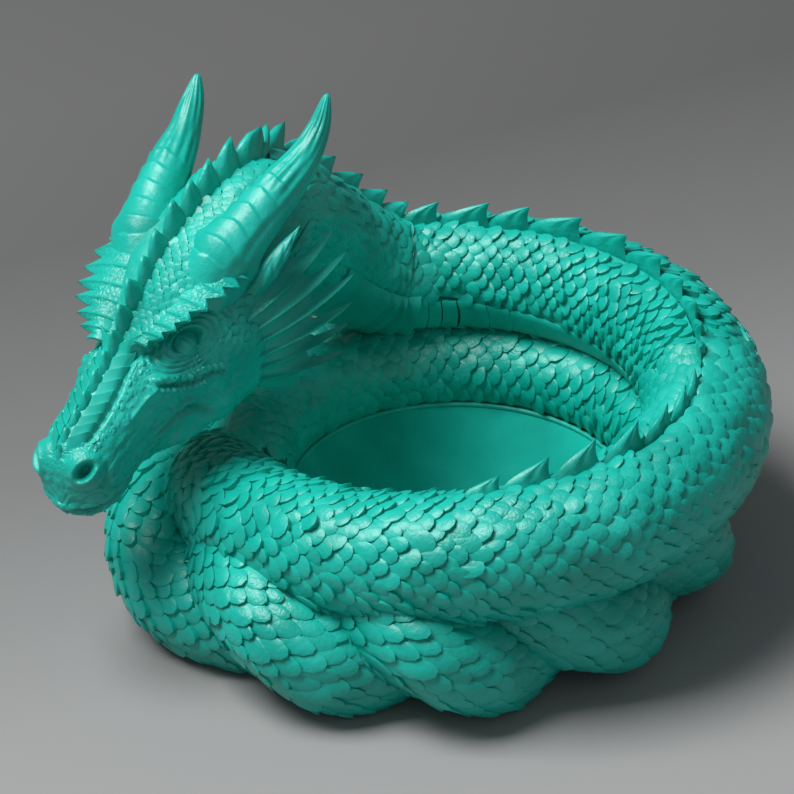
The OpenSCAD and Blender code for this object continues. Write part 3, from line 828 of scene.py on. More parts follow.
# %% [markdown]
# ## The head's skin
# The head is one closed skin, lofted through oval sections from the nape to the lips. A dense
# sheet is wrapped round it and then worked like clay: strokes press the eye sockets and
# nostrils, raise the brows and the cheek ridges, and cut the mouth line. Each stroke is a
# distance to a line or a spot, so both sides are shaped alike. Sculpting by hand could do the
# same, but strokes written down can be changed and run again.

# %% Sections of the head
# place along the snout, top, bottom and half width of each section
HEAD_STATIONS = [(-14, 1.2, 1.1, 0.1), (-13.5, 7, -5, 7), (-12, 13.5, -11, 13.5), (-4, 18, -15, 17),
                 (6, 20.4, -18.5, 19.4), (16, 21.4, -21.5, 21), (26, 21.4, -23, 21.6), (36, 19.8, -22, 20),
                 (45, 16.8, -19, 17.4), (54, 13.8, -16, 14.6), (63, 12, -13.5, 12.4), (72, 10.4, -13, 11.4),
                 (80, 9.4, -14.2, 11.8), (86, 7, -14, 11), (90, 3, -12.5, 8.6), (92.5, -2, -8.5, 4.2),
                 (93.4, -3.4, -7, 2.4), (93.7, -5.1, -5.3, 0.15)]
HEAD_DENSE = through(HEAD_STATIONS, np.linspace(0, 1, 700))


def bend(v, s):
    """Fuller than an ellipse above, nearly an ellipse below."""
    return np.sign(v) * np.abs(v) ** np.where(s > 0, 0.74, 0.95)


def head_plain(x, angle):
    """The smooth head before any stroke, 90 degrees being the top and 0 its left side."""
    top, bottom, half = (np.interp(x, HEAD_DENSE[:, 0], HEAD_DENSE[:, k]) for k in (1, 2, 3))
    c, s = np.cos(np.radians(angle)), np.sin(np.radians(angle))
    roof = np.where(s > 0, 1 - 0.16 * s, 1 - 0.12 * s * s)
    return np.stack([x, half * bend(c, s) * roof, (top + bottom) / 2 + (top - bottom) / 2 * bend(s, s)], 1)


def head_up(x, angle):
    """The outward direction of the smooth head."""
    ahead = head_plain(x + 0.15, angle) - head_plain(x - 0.15, angle)
    beside = head_plain(x, angle + 0.4) - head_plain(x, angle - 0.4)
    return unit(np.cross(beside, ahead))


print("the head is", HEAD_STATIONS[-1][0] - HEAD_STATIONS[0][0], "mm long")

# %% Where the head sits
HEAD_AT = np.array([-55, 12.2, 95.9])
HEAD_TURN = np.radians([7.2, 25.7, 234.9])


def turn_about(axis, angle):
    m = np.eye(3)
    i, j = [(1, 2), (2, 0), (0, 1)][axis]
    m[i, i] = m[j, j] = math.cos(angle)
    m[i, j], m[j, i] = -math.sin(angle), math.sin(angle)
    return m


HEAD_SET = turn_about(2, HEAD_TURN[2]) @ turn_about(1, HEAD_TURN[1]) @ turn_about(0, HEAD_TURN[0])


def set_head(p):
    """From the head's own frame, +X along the snout, to the model's frame."""
    return HEAD_AT + np.asarray(p, float) @ HEAD_SET.T


print("the nose is at", set_head((93.7, 0, -5)).round(1))

# %% Distances for the strokes


def near_line(q, line):
    """Distance from points to a bent line, and how far along it they fall from 0 to 1."""
    best, at = np.full(len(q), 1e9), np.zeros(len(q))
    line = np.asarray(line, float)
    for k in range(len(line) - 1):
        a, ab = line[k], line[k + 1] - line[k]
        t = np.clip((q - a) @ ab / (ab @ ab), 0, 1)
        d = np.linalg.norm(q - a - t[:, None] * ab, axis=1)
        near = d < best
        best[near], at[near] = d[near], (k + t[near]) / (len(line) - 1)
    return best, at


def oval(q, spot, along, long, short):
    """Distance from a spot, counted so that it is 1 on an oval with its long side along."""
    d = q - np.asarray(spot, float)
    a = unit(np.asarray(along, float))
    u = d @ a
    v = np.sqrt(np.maximum((d * d).sum(1) - u * u, 0))
    return np.hypot(u / long, v / short)


def away(q, spot):
    return np.linalg.norm(q - spot, axis=1)


print("distance to a line", near_line(np.array([[1.0, 2.0]]), [(0, 0), (2, 0)])[0])

# %% Wrinkles
rng = np.random.default_rng(7)
waves = [(rng.normal(0, 1, 3), rng.uniform(0, 6.28)) for _ in range(14)]


def wrinkle(q, size):
    """A soft uneven pattern about as coarse as size, from crossed waves."""
    total = 0
    for direction, start in waves:
        bent = 1.3 * np.sin(q[:, 0] / size + start)
        total = total + np.sin(q @ unit(direction) * 6.28 / size + start + bent)
    return total / len(waves) * 1.8


print("wrinkles are made of", len(waves), "crossed waves")

# %% Where the strokes lie
BROW = [(52.6, 6.0, 13.4), (46.6, 9.5, 14.0), (41.5, 12.5, 13.9), (36.3, 14.8, 13.8), (31.7, 16.7, 12.9),
        (27, 18.3, 11.5), (24.4, 18.9, 10.8)]
UNDER_EYE = [(57.2, 12.2, 5.8), (53.9, 14.1, 3), (50.1, 15.7, 0.3), (46.3, 17, -1), (42.1, 18.2, -3.3)]
CHEEK_EDGE = [(57.2, 12.2, 5.8), (61.9, 11.2, 5.5), (66, 10.7, 5), (69.6, 10.2, 4.7)]
SNOUT_GROOVE = [(52.7, 5.6, 13.5), (56.4, 5.8, 12.4), (60.8, 6.2, 11.3), (64.9, 6.6, 10.2),
                (69.4, 6.7, 9.2), (74.3, 6.6, 8.5), (79.2, 6.1, 8.4)]
MOUTH = [(96, -6.2), (80, -7.4), (72, -7), (67.3, -6.7), (62.5, -5.6), (57.5, -5), (53.3, -6), (48.7, -9.4),
         (43, -13)]
EYE_SPOT, EYE_ALONG = (44, 14.7, 9.6), (-6.8, 3.1, -0.9)
EYE_CORNER = (51.8, 10.3, 11.2)
NOSTRIL, NOSTRIL_ALONG = (86, 7.7, 4.4), (-4.9, 2.5, 1.3)
print("the mouth line has", len(MOUTH), "points")

# %% Strokes of brow, eye and cheek ridge


def brow_and_eye(q, h):
    x, y, z = q.T
    d, _ = near_line(q, BROW)
    above = smooth((z - look(-x, [(-b[0], b[2]) for b in BROW]) + 0.9) / 1.4)
    h += 1.9 * above * bump(np.maximum(d - 0.4, 0), 2.4) - 1.3 * (1 - above) * bump(d - 1.6, 1.5)
    eye = oval(q, EYE_SPOT, EYE_ALONG, 4.2, 2.5)
    h += 0.5 * bump(eye - 1.2, 0.16) - 2.0 * np.exp(-eye ** 6) - 1.3 * bump(away(q, EYE_SPOT), 8)
    lid_rings = 0.26 * np.cos((eye - 1.72) * 6.28 / 0.46) * smooth((eye - 1.4) / 0.2)
    h += lid_rings * (1 - smooth((eye - 2.9) / 0.8)) * (1 - above)
    h -= 1.5 * bump(away(q, EYE_CORNER), 2.8)
    d, t = near_line(q, UNDER_EYE)
    h += 0.9 * bump(d - 1.7, 1.3) * (1 - 0.6 * t) - 0.8 * bump(d, 0.45)
    d, t = near_line(q, CHEEK_EDGE)
    h += 1.3 * np.exp(-d / 0.9) * (1 - 0.7 * t)
    return h


print("the eye's spot is", EYE_SPOT)

# %% Strokes of snout, mouth and nostrils


def snout_and_mouth(q, h):
    x, y, z = q.T
    h -= 1.0 * bump(near_line(q, SNOUT_GROOVE)[0], 0.7)
    flat = np.column_stack([x, z])
    d, t = near_line(flat, MOUTH)
    open_part = 1 - smooth((t - 0.8) / 0.2)
    h += (-1.7 * bump(d, 0.65) + 0.6 * bump(d - 1.7, 0.9)) * open_part
    lower = smooth((-z - 7.5) / 3) * smooth((x - 44) / 8)
    d, _ = near_line(flat, [(b[0], b[1] - 3.4) for b in MOUTH[1:]])
    h -= 0.45 * bump(d, 0.7) * lower
    hole = oval(q, NOSTRIL, NOSTRIL_ALONG, 2.5, 1.45)
    far = away(q, NOSTRIL)
    rim = 1.5 * bump(far, 4.4) - 4.6 * np.exp(-hole ** 4) + 0.45 * bump(hole - 1.6, 0.45)
    h += rim - 1.0 * smooth((x - 84) / 8)
    h -= 0.5 * bump(far - 6.2, 0.9) * (x < 86)
    return h


print("the nostril's spot is", NOSTRIL)

# %% Swellings and folds


def swellings(q, h):
    """The horns' feet, the jaw's muscles and lips, and the cheekbone."""
    x, y, z = q.T
    h += 3.0 * bump(away(q, (21, 13.4, 15.4)), 8)
    h += 4.5 * bump(np.linalg.norm((q - (46, 14, -14)) * (0.8, 1, 1), axis=1), 6.5)
    h += 4.0 * bump(away(q, (35, 17, -17)), 8) + 1.5 * bump(away(q, (57, 12.5, -11)), 5)
    h += 3.8 * bump(x - 58, 11) * smooth((-z - 7.5) / 4)
    h += 1.0 * bump(away(q, (36, 20, 1)), 6) + 1.3 * bump(away(q, (30, 20, -9)), 8)
    return h


def folds(q, h):
    """Soft wrinkles all over and creases on the cheeks."""
    z = q[:, 2]
    h += 0.16 * wrinkle(q, 2.6) * smooth((8 - z) / 6) + 0.12 * wrinkle(q * (1, 1, 2.2), 4.2)
    crease = np.abs(wrinkle(q * (1, 1, 1.6) + 9, 6.5))
    h -= 0.35 * bump(crease, 0.16) * smooth((5 - z) / 5)
    return h


def relief(p):
    """How far each place of the head stands out from the smooth skin."""
    q = np.column_stack([p[:, 0], np.abs(p[:, 1]), p[:, 2]])
    h = 0.5 * bump(q[:, 1], 1.4) * (q[:, 0] > 6) * (q[:, 0] < 84)
    for strokes in (brow_and_eye, snout_and_mouth, swellings, folds):
        h = strokes(q, h)
    return h


print("the brow stands out by", relief(np.array([[41.5, 12.5, 13.9]])).round(2))

# %% Places on the worked head


def head_skin(x, angle):
    p = head_plain(x, angle)
    return p + head_up(x, angle) * relief(p)[:, None]


one_section = head_plain(np.full(361, 45.0), np.linspace(90, -270, 361))
girth = np.append(0, np.cumsum(np.linalg.norm(np.diff(one_section, axis=0), axis=1))) / 17.4


def head_angle(x, across):
    """The angle that lies a given length of skin away from the midline, plus to the left."""
    half = np.interp(x, HEAD_DENSE[:, 0], HEAD_DENSE[:, 3])
    turned = np.interp(np.abs(across) / half, girth, np.linspace(0, 360, 361))
    return 90 - np.sign(across) * turned


def head_surface(x, across, lift):
    """Places on the worked head, by the place along the snout and the mm of skin from the midline."""
    angle = head_angle(x, across)
    p = head_plain(x, angle)
    return set_head(p + head_up(x, angle) * (relief(p) + lift)[:, None])


print("10 mm of skin from the midline is", head_angle(45.0, 10.0).round(1), "degrees round")

# %% The head's mesh
bm = sheet_mesh(290, 236)
wide, tall, _ = columns(bm)
along = np.interp(wide, [0, 0.03, 0.25, 0.97, 1], [-14, -12, 20, 92.4, 93.7])
place_points(bm, set_head(head_skin(along, tall * 360 - 90)))
finish_piece("head_skin", weld(bm, 0.012), resin_face, ["skull", "lower_jaw"], sharp=70)

# %% [markdown]
# ## Scales and pebbles on the head
# The forehead carries small round scales that grow towards the nape, the cheeks carry flatter
# ones, and little pebbles fill the strip beside the snout. A bump pattern could stand for them,
# but real scales keep their edges when they are seen from the side. The spots are staggered
# between two edges, which are told by the length of skin from the midline.

# %% Spots on the head


def head_spots(x0, x1, low, high, pitch, grow=1.0, jitter=0.12, seed=5):
    """Staggered spots on both sides between two edges, which are tables of skin length by x."""
    r = np.random.default_rng(seed)
    spots, sizes = [], []
    x, row = x0, 0
    while x > x1:
        size = 1 + (grow - 1) * (x0 - x) / (x0 - x1)
        a, b = float(look(x, low)), float(look(x, high))
        w = a + (pitch * size * 0.5 if row % 2 else 0)
        while w < b:
            for side in (1, -1):
                spots.append((x + r.normal(0, jitter), side * (w + r.normal(0, jitter)), -1))
                sizes.append(size)
            w += pitch * size
        x -= pitch * size * 0.56
        row += 1
    return np.array(spots), np.array(sizes)


BROW_EDGE = [(-12, 17), (5, 20), (24, 21.5), (27, 20.5), (32, 17.5), (36, 15.2), (41.5, 12.6), (46.6, 9.8),
             (52.6, 6.2)]
print("the brow's edge has", len(BROW_EDGE), "points")

# %% Forehead scales
spots, sizes = head_spots(51.5, -11, [(0, 2.6), (60, 1.7)], [(x, edge - 0.6) for x, edge in BROW_EDGE],
                          2.2, grow=1.9)
at = head_plain(spots[:, 0], head_angle(spots[:, 0], spots[:, 1]))
off_horns = away(np.abs(at), (19, 13.6, 16)) > 5.5
free = off_horns & ((at[:, 1] > 0) | (at[:, 0] < 4))    # the right side keeps bare, wrinkled skin
lay_hide("forehead_scales", head_surface, spots[free], (1, 1), length=3.5, width=2.75, lift=0.7,
         sink=0.6, rough=0.6, seed=31, sizes=sizes[free], dome=0.5)

# %% Snout pebbles
PEBBLE_LOW = [(53, 6.4), (60, 7.0), (70, 7.2), (80, 7.0)]
PEBBLE_HIGH = [(53, 9.5), (57, 13.2), (62, 12.6), (66, 12.4), (70, 12), (80, 10)]
spots, sizes = head_spots(80, 53, PEBBLE_LOW, PEBBLE_HIGH, 1.5, grow=1.15, jitter=0.25, seed=6)
lay_hide("snout_pebbles", head_surface, spots, (1, 1), length=1.9, width=1.4, lift=0.0, sink=0.3,
         rough=0.9, seed=32, sizes=sizes, dome=0.4)

# %% Cheek scales
CHEEK_LOW = [(-11, 19), (6, 22), (12, 27), (24, 27), (38, 25)]
CHEEK_HIGH = [(-11, 40), (0, 42), (20, 40), (38, 33)]
spots, sizes = head_spots(38, -11, CHEEK_LOW, CHEEK_HIGH, 2.7, grow=1.7, seed=8)
lay_hide("cheek_scales", head_surface, spots, (1, 1), length=3.6, width=2.8, lift=0.35, sink=0.5,
         rough=0.9, seed=33, sizes=sizes, dome=0.4)

# %% [markdown]
# ## Scales under the eye
# Two rows of short scales follow the fold under each eye, larger ones above and smaller ones
# below. Their spots come from the fold's own line, so the scales stay on it if it is moved.

# %% Under-eye scales


def across_of(spot):
    """How far round from the midline a spot of the head's left side lies."""
    angles = np.linspace(90, -40, 261)
    near = np.linalg.norm(head_plain(np.full(261, spot[0]), angles) - spot, axis=1).argmin()
    half = np.interp(spot[0], HEAD_DENSE[:, 0], HEAD_DENSE[:, 3])
    return float(np.interp(90 - angles[near], np.linspace(0, 360, 361), girth)) * half


fold = through(UNDER_EYE, np.linspace(0, 1, 13))
beads = [(q[0], side * (across_of(q) + shift), -1)
         for q in fold for side in (1, -1) for shift in (-1.5, 1.2)]
bead_sizes = np.array([size for q in fold for side in (1, -1) for size in (1.15, 0.7)])
lay_hide("under_eye_scales", head_surface, beads, (1, 1), length=1.7, width=2.0, lift=0.45, sink=0.3,
         rough=0.9, seed=34, sizes=bead_sizes, dome=0.5)

# %% [markdown]
# ## Plates beside the snout's ridge
# Nine slanted plates lie on each side of the snout's ridge, each over the next, and get longer
# towards the brow. They are the belly's plate again, laid on the head, narrow and aslant.

# %% Slanted plates
SIDES = ((1, "left"), (-1, "right"))


def plate_start(k):
    """Where plate k starts along the snout, the plates getting shorter towards the nose."""
    return 81.5 - 2.6 * k - 0.085 * k * k


def slanted_plates(side):
    def mid(x):
        return side * 3.75 + 0 * x

    def half(x):
        return 2.35 - 0.012 * (x - 60)

    return [plate_mesh(head_surface, plate_start(k) + 0.5, plate_start(k + 1), mid, half, 1.35, rows=6,
                       cols=10, slant=-1.9 * side, wave=-0.1, front_drop=1.0) for k in range(9)]


for side, label in SIDES:
    finish_piece("plates_beside_ridge_" + label, joined(slanted_plates(side)), resin_smooth,
                 ["snout_plates_" + label], sharp=35)

# %% [markdown]
# ## Fins of the forehead and the snout
# The row of fins goes on over the head as small leaf-shaped blades that shrink towards the nose,
# each thinner than the one behind it. The same blade is used once more.

# %% Ridge fins
# place of each tip along the snout, its height and its span
RIDGE_TIPS = [(83.2, 1.2, 4), (78.8, 1.4, 4.4), (73.6, 1.9, 5), (68.2, 2.4, 5.2), (62.6, 2.9, 5.4),
              (57, 3.4, 5.6), (51.2, 4.2, 6.2), (45, 5.4, 6.8), (38.6, 6, 6.6), (32.2, 4.8, 6.6),
              (25.4, 5.8, 7.4), (17, 7.2, 8.2), (9.6, 6.8, 8), (2.4, 7.6, 8), (-5.2, 8.4, 8.4),
              (-12, 8, 7.6)]
fins = [{"at": x, "round": 0.0, "span": span * 1.35, "high": high * 1.08, "thick": 2.8 + 0.12 * k,
         "lean": -1} for k, (x, high, span) in enumerate(RIDGE_TIPS)]
lay_blades("ridge_fins", head_surface, fins, (1, 1), ["snout_fins"], 0.84, 1.8, 0.0)

# %% [markdown]
# ## Eyes
# The eyes are balls behind ringed lids. The lids belong to the head's skin, so a ball is enough
# for the eye itself. A narrow slit and a fine ring are pressed into its outer side, which could
# be a bump in the finish, but as dents they show from the side too.

# %% Eyes


def press_pupil(bm, side):
    """An upright slit with a ring round it."""
    for v in bm.verts:
        d = v.co.normalized()
        off = math.hypot(d.x - 0.05, d.z - 0.5)
        if side * d.y > 0:
            slit = 0.35 * math.exp(-((d.x - 0.05) / 0.07) ** 2) * (off < 0.55)
            v.co -= d * (slit + 0.15 * math.exp(-((off - 0.55) / 0.05) ** 2))


for side, label in SIDES:
    bm = bmesh.new()
    bmesh.ops.create_uvsphere(bm, u_segments=48, v_segments=32, radius=3.6)
    press_pupil(bm, side)
    x, y, z = columns(bm)
    place_points(bm, set_head(np.stack([x * 1.1 + 43.8, y + side * 12.1, z + 6.5], 1)))
    finish_piece("eyeball_" + label, bm, resin_smooth, ["eye_" + label], sharp=80)

# %% [markdown]
# ## Horns
# The horns sweep back and up. Each one is a sheet rolled round a curve and closed at its tip.
# Its radius shrinks along the curve: collars step up the lower half, like rings of growth, and
# long fibres run up to the tip. A cone with a texture would show a smooth outline, so the
# collars are in the mesh.

# %% Horns
HORN_LINE = [(30, 9.5, 8.5), (21, 13.0, 14.6), (9.5, 16.4, 17.6), (-0.8, 18.5, 18.9), (-10.3, 20.2, 20.2),
             (-18.8, 21.4, 23.6), (-26, 22.1, 29.2)]


def horn_radius(wide, turn, t):
    """How thick the horn is at each place: the plain taper, then collars and fibres."""
    s = np.clip((t - 0.15) / 0.85, 0, 1)
    r = 7.4 * (1 - s) ** 0.72 * np.minimum(1, 0.8 + 3 * s) + 0.5
    r = np.where(wide > 0.96, r * np.sqrt(np.clip(1 - ((wide - 0.96) / 0.04) ** 2, 0, 1)), r)
    upper_side = smooth((np.sin(turn + 0.3) + 0.1) / 0.7)
    ring = (10.5 * s ** 0.85 + 0.16 * np.sin(turn * 2 + 1) + 0.06 * np.sin(5 * turn + 9 * s)) % 1
    collar = 0.62 * (ring ** 1.6 - smooth((ring - 0.9) / 0.1)) * (1 - smooth((s - 0.36) / 0.16))
    collar = collar * upper_side
    fibre = 0.34 * np.abs(np.sin(5 * turn + 4 * s + np.sin(3 * turn))) + 0.18 * np.sin(13 * turn - 9 * s)
    fibre = fibre * np.maximum(smooth((s - 0.3) / 0.15), 1 - upper_side) * (1 - s) ** 0.4
    fibre = fibre + 2.6 * bump(s, 0.09)
    return r + collar + fibre


def horn_mesh(side, nx=240, ny=72):
    bm = sheet_mesh(nx, ny)
    wide, tall, _ = columns(bm)
    turn = np.radians(tall * 360)
    t = np.interp(wide, [0, 0.96, 1], [0, 0.985, 1])
    line = np.asarray(HORN_LINE, float) * (1, side, 1)
    if side < 0:
        line[-1] += (1.6, 0.3, -1.7)    # the right horn's tip leans a little further forward
    ahead = unit(through(line, np.minimum(t + 0.01, 1)) - through(line, np.maximum(t - 0.01, 0)))
    out = unit(np.cross(ahead, [0, 0, 1.0])) * -side
    up = np.cross(ahead, out) * side
    r = horn_radius(wide, turn, t)[:, None]
    rim = np.cos(turn)[:, None] * out + np.sin(turn)[:, None] * up
    place_points(bm, set_head(through(line, t) + r * rim))
    bmesh.ops.remove_doubles(bm, verts=bm.verts, dist=0.01)
    bmesh.ops.holes_fill(bm, edges=bm.edges, sides=0)
    bmesh.ops.recalc_face_normals(bm, faces=bm.faces)
    return bm


for side, label in SIDES:
    finish_piece("horn_skin_" + label, horn_mesh(side), resin_horn, ["horn_" + label], sharp=40)

# %% [markdown]
# ## Webs on spines
# Behind each cheek and under the jaw stand fans of spines with thin skin between them. A fan is
# the doubled sheet of the fins, stretched from a line of roots to a line of tips: it is thick
# along each spine, thin and sunk between them, and its free edge is cut back there. Single
# spines with a separate skin would need a joint along each spine, and one sheet needs none.

# %% The web tool


def webbed(roots, tips, side, spine=1.3, web=0.4, scallop=0.5, per_gap=10, ny=18, round_edge=2.6,
           bow=1.6, sag=1.3, dip=0.0):
    """A fan of spines with skin between them. spine and web are half thicknesses, scallop the
    share cut back at the edge, bow and sag the arch outwards, and dip lowers the root line."""
    gaps = len(roots) - 1
    bm = joined([blade_shape(gaps * per_gap, ny)])
    u, reach_at, face = columns(bm)
    u = u * gaps
    k = np.clip(np.floor(u + 1e-6).astype(int), 0, gaps - 1)
    f = np.clip(u - k, 0, 1)
    a, b = np.asarray(roots, float) * (1, side, 1), np.asarray(tips, float) * (1, side, 1)
    root = a[k] + (a[k + 1] - a[k]) * f[:, None]
    tip = b[k] + (b[k + 1] - b[k]) * f[:, None]
    middle = 1 - np.abs(2 * f - 1)
    cut = np.minimum(middle * round_edge, 1) ** (0.5 if round_edge > 1 else 1)
    reach = reach_at * (1 - scallop * cut * (0.85 + 0.15 * middle))
    p = root - (tip - root) * 0.12 + (tip - root) * 1.12 * reach[:, None]
    out = unit(np.cross(tip - root, a[-1] - a[0])) * side
    out = out * np.where(out[:, 1:2] * side > 0, 1, -1)
    free_edge = np.where((reach_at > 0.999), 0.0, 1.0)
    first_last = np.where((u < 0.001) | (u > gaps - 0.001), 0.0, 1.0)
    thick = web * (1 - 0.5 * reach_at) + spine * bump(middle, 0.13) * (1 - reach_at) ** 0.6
    arch = bow * np.sin(math.pi * reach_at * 0.9) - sag * middle * np.sin(math.pi * reach_at * 0.8)
    arch = arch - dip * (1 - reach_at) ** 4
    place_points(bm, set_head(p + out * (arch + face * thick * free_edge * first_last)[:, None]))
    return weld(bm, 0.01)


print("web tool ready")

# %% Cheek frills
FRILL_ROOTS = [(25, 19.4, 6), (26, 20.6, 3), (27, 20.9, -1), (28.5, 20.7, -5), (30, 20.3, -9),
               (31.5, 19.6, -12.5), (33, 18.6, -16), (34, 16.6, -20)]
FRILL_TIPS = [(-3.7, 20.4, 6.2), (-5.8, 24, 0.7), (-3.4, 26.6, -5.6), (-1.2, 28, -11.4), (3.6, 28.2, -17),
              (7, 27.5, -21.5), (12, 26, -27.9), (20, 22, -34)]
for side, label in SIDES:
    frill = webbed(FRILL_ROOTS, FRILL_TIPS, side, spine=1.5, scallop=0.42, bow=2.6)
    finish_piece("frill_web_" + label, frill, resin_skin, ["cheek_frill_" + label], sharp=50)

# %% Jaw fringes
FRINGE_ROOTS = [(37.5, 13.6, -16.4), (40.5, 12.6, -15.8), (43.5, 11.6, -15.2), (46.5, 10.6, -14.8)]
FRINGE_TIPS = [(31.5, 18.5, -30), (35, 17, -29.5), (40, 15, -26), (45, 12.5, -23)]
for side, label in SIDES:
    finish_piece("fringe_web_" + label, webbed(FRINGE_ROOTS, FRINGE_TIPS, side, spine=1.0), resin_skin,
                 ["jaw_fringe_" + label], sharp=50)

# %% [markdown]
# ## Ears
# The ears are narrow leaves that lie back along the head, hollow outside, with a few soft cells
# between their ribs. They are the fins' doubled sheet again, widest in its lower half, because a
# leaf cut from a solid would need its hollow carved afterwards.

# %% Ears


def ear_mesh(side):
    bm = joined([blade_shape(28, 60)])
    across, t, face = columns(bm)
    u = across * 2 - 1
    root, tip = np.array([25, 20.0 * side, 6.6]), np.array([4.6, 26.2 * side, 13])
    ahead = unit(tip - root)
    outwards = np.array([0.1, side, 0.5])
    out = unit(outwards - ahead * (outwards @ ahead))
    wing = np.cross(ahead, out)
    half = 3.3 * np.sin(math.pi * np.clip(t * 0.86 + 0.12, 0, 1)) ** 0.75 * (1 - t) ** 0.35 + 0.05
    half = half * (1 + 0.07 * np.sin(t * 22) * (u > 0))
    lens = np.sqrt(np.maximum(1 - u ** 2, 0)) * (1 - t ** 4) * np.minimum(1, 3 * t + 0.4)
    cells = 0.6 * np.abs(np.sin(t * 15 + u * 2.2)) ** 0.5 * np.abs(np.sin(u * 3.4 + t * 4)) ** 0.4
    cells = cells * (face > 0) * lens
    out_by = face * (1.3 * lens) + cells - 0.8 * u ** 2 * half / 3 + 1.2 * np.sin(math.pi * t)
    p = root + (tip - root) * t[:, None] + wing * (half * u)[:, None] + out * out_by[:, None]
    place_points(bm, set_head(p))
    return weld(bm, 0.01)


for side, label in SIDES:
    finish_piece("ear_skin_" + label, ear_mesh(side), resin_scale, ["ear_" + label], sharp=50)

# %% [markdown]
# ## Brow shelves
# Over each eye a shelf with a toothed edge stands out from the brow. It is the web tool with a
# thick web, thin spines and a straight cut, so its edge turns into teeth. Its roots are looked
# up on the worked skin, so that it grows out of the brow, and dip sinks the root line. The two
# sides have tips of their own, because the head isn't quite even.

# %% Brow shelves
BROW_TIPS = {1: [(52.5, 9.6, 14.6), (49.4, 13.6, 15.6), (46.2, 15.6, 15.7), (42.4, 17.6, 15.7),
                 (37.8, 19.8, 15.2), (32.2, 21.9, 14.8), (28, 23.2, 13.8), (24, 23.2, 12.8)],
             -1: [(54.4, 10, 13.4), (51.4, 13.9, 14.2), (48.2, 17.2, 14.8), (43.8, 21.1, 15),
                  (39.5, 23.5, 15), (34.3, 25.3, 14.4), (28.1, 27, 13), (23, 25.5, 13)]}
ROOT_SHARE, ROOT_LIFT = {1: 0.75, -1: 0.5}, {1: 0.1, -1: 0.5}
SHELF_BOW, SHELF_DIP = {1: 0.4, -1: 1.2}, {1: 1.6, -1: 3.2}


def brow_roots(side):
    """Roots on the skin, at a share of the way from the midline to the brow's edge."""
    x = np.array(BROW_TIPS[side])[:, 0] - 0.5
    angle = head_angle(x, side * ROOT_SHARE[side] * look(x, BROW_EDGE))
    root = head_plain(x, angle)
    root = root + head_up(x, angle) * (relief(root) + ROOT_LIFT[side])[:, None]
    return root * (1, side, 1)


for side, label in SIDES:
    shelf = webbed(brow_roots(side), BROW_TIPS[side], side, spine=0.6, web=0.9, scallop=0.3, ny=24,
                   round_edge=1, bow=SHELF_BOW[side], sag=0.4, dip=SHELF_DIP[side])
    finish_piece("brow_teeth_" + label, shelf, resin_face, ["brow_crest_" + label], sharp=45)

# %% [markdown]
# ## The dish's lip
# The dish itself is the CAD's smooth shallow bowl. Its rim carries a thin rounded bead, which
# catches the light as a bright line. It could be a torus, but spinning a small circle round the
# middle shows how any rim of one section is made.

# %% Lip bead
LIP_RADIUS, LIP_HEIGHT, BEAD_RADIUS = 45.4, 22.4, 0.75
bm = bmesh.new()
bmesh.ops.create_circle(bm, segments=10, radius=BEAD_RADIUS)
bmesh.ops.rotate(bm, verts=bm.verts, cent=(0, 0, 0), matrix=Matrix.Rotation(math.pi / 2, 3, "X"))
bmesh.ops.translate(bm, verts=bm.verts, vec=(LIP_RADIUS, 0, LIP_HEIGHT))
bmesh.ops.spin(bm, geom=list(bm.verts) + list(bm.edges), cent=(0, 0, 0), axis=(0, 0, 1), angle=2 * math.pi,
               steps=144, use_merge=True)
bmesh.ops.recalc_face_normals(bm, faces=bm.faces)
finish_piece("lip_bead", bm, resin_smooth, sharp=80)

# %% [markdown]
# ## Finishes of the CAD solids that stay
# The dish, and the coils, strands and neck under the scales, keep their CAD solids, because
# their shapes are right. They get the same resin, the dish its duller one.

# %% Materials on the CAD nodes
for name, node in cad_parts.items():
    node.data.materials.clear()
    node.data.materials.append(resin_dish if name == "bowl_dish" else resin_skin)
print("finished", len(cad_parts), "CAD nodes")
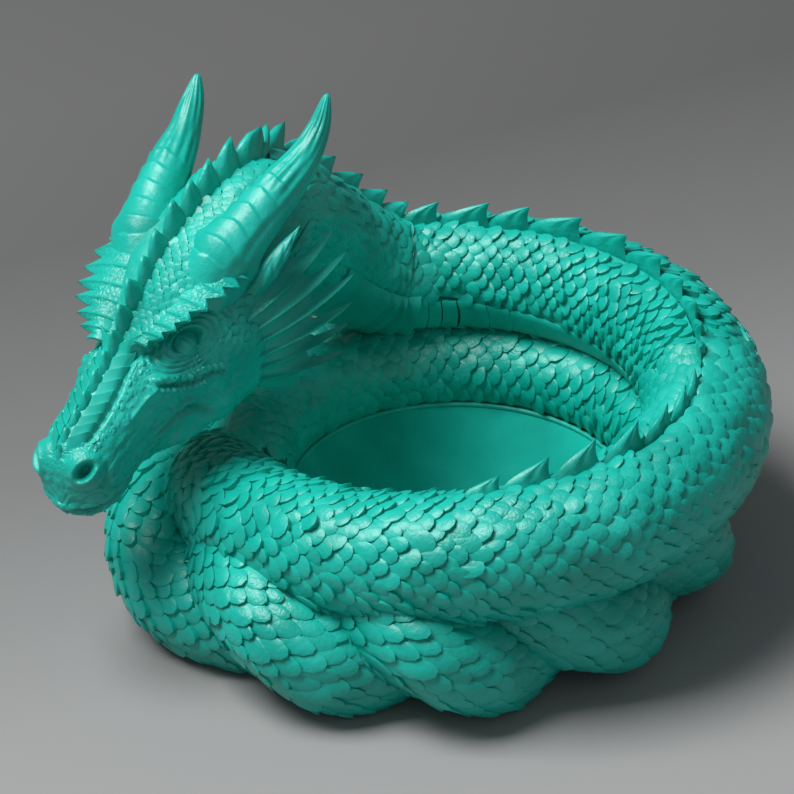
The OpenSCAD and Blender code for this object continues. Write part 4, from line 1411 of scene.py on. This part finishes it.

# %% [markdown]
# ## The studio
# A plain floor runs up into a curved backdrop, so no corner shows. Its grey is paler in front
# on the right and darker behind on the left, a painted shade that stands in for the light falling off,
# and follows how far a place lies in that direction.
# One large soft lamp stands high on the left, a weak one fills from the front right, and the
# world gives an even light.

# %% Floor and backdrop
FLOOR_LENGTH, FLAT_LENGTH, CURVE = 3.4, 2.2, 0.8
bm = bmesh.new()
bmesh.ops.create_grid(bm, x_segments=1, y_segments=40, size=1)
for v in bm.verts:
    reach = FLOOR_LENGTH * ((v.co.y + 1) / 2)
    v.co.x *= 3
    if reach < FLAT_LENGTH:
        v.co.y, v.co.z = -1.2 + reach, 0
    else:
        q = min(min((reach - FLAT_LENGTH) / CURVE, 1.6), 1.57)
        v.co.y, v.co.z = 1.0 + 0.5 * math.sin(q), 0.5 * (1 - math.cos(q))
floor = bpy.data.objects.new("studio_floor", mesh_of(bm, "studio_floor"))
bpy.context.scene.collection.objects.link(floor)
print("the floor has", len(floor.data.polygons), "strips")

# %% The floor's grey, with painted shade
# painted shade: these greys make the floor darker behind and on the left, standing in for the light falling
# off there
FLOOR_PAINTED_SHADE = [(0, 0.335), (0.26, 0.295), (0.53, 0.18), (0.8, 0.118), (1, 0.13)]
grey = bpy.data.materials.new("studio_grey_painted_shade")
grey.use_nodes = True
tree = grey.node_tree
where = add_node(tree, "TexCoord")
reach = add_node(tree, "VectorMath")
reach.operation = "DOT_PRODUCT"
reach.inputs[1].default_value = (-0.6, 1, 0)
span = add_node(tree, "MapRange", From_Min=-0.15, From_Max=0.35)
painted_falloff = add_node(tree, "ValToRGB")
for position, shade in FLOOR_PAINTED_SHADE[1:-1]:
    painted_falloff.color_ramp.elements.new(position)
for element, (position, shade) in zip(painted_falloff.color_ramp.elements, FLOOR_PAINTED_SHADE):
    element.position, element.color = position, (shade, shade, shade, 1)
shader = tree.nodes["Principled BSDF"]
shader.inputs["Roughness"].default_value = 0.8
tree.links.new(where.outputs["Object"], reach.inputs[0])
tree.links.new(reach.outputs["Value"], span.inputs["Value"])
tree.links.new(span.outputs["Result"], painted_falloff.inputs["Fac"])
tree.links.new(painted_falloff.outputs["Color"], shader.inputs["Base Color"])
floor.data.materials.append(grey)
print("floor shades from", FLOOR_PAINTED_SHADE[0][1], "to", FLOOR_PAINTED_SHADE[-1][1])

# %% Lamps and world


def lamp(name, place, size, power, aim=(0, 0, 0.05)):
    data = bpy.data.lights.new(name, "AREA")
    data.size, data.energy = size, power
    obj = bpy.data.objects.new(name, data)
    obj.location = place
    obj.rotation_euler = (Vector(aim) - Vector(place)).to_track_quat("-Z", "Y").to_euler()
    bpy.context.scene.collection.objects.link(obj)
    print(name, "gives", power, "watts")


lamp("key", (-0.66, -0.1, 1.24), 0.7, 24)
lamp("fill", (0.5, -1.5, 1.0), 1.4, 1.5)
world = bpy.data.worlds.new("studio")
world.use_nodes = True
background = world.node_tree.nodes["Background"]
background.inputs["Color"].default_value = (0.8, 0.85, 0.9, 1)
background.inputs["Strength"].default_value = 0.19
bpy.context.scene.world = world
bpy.context.scene.view_settings.view_transform = "Standard"
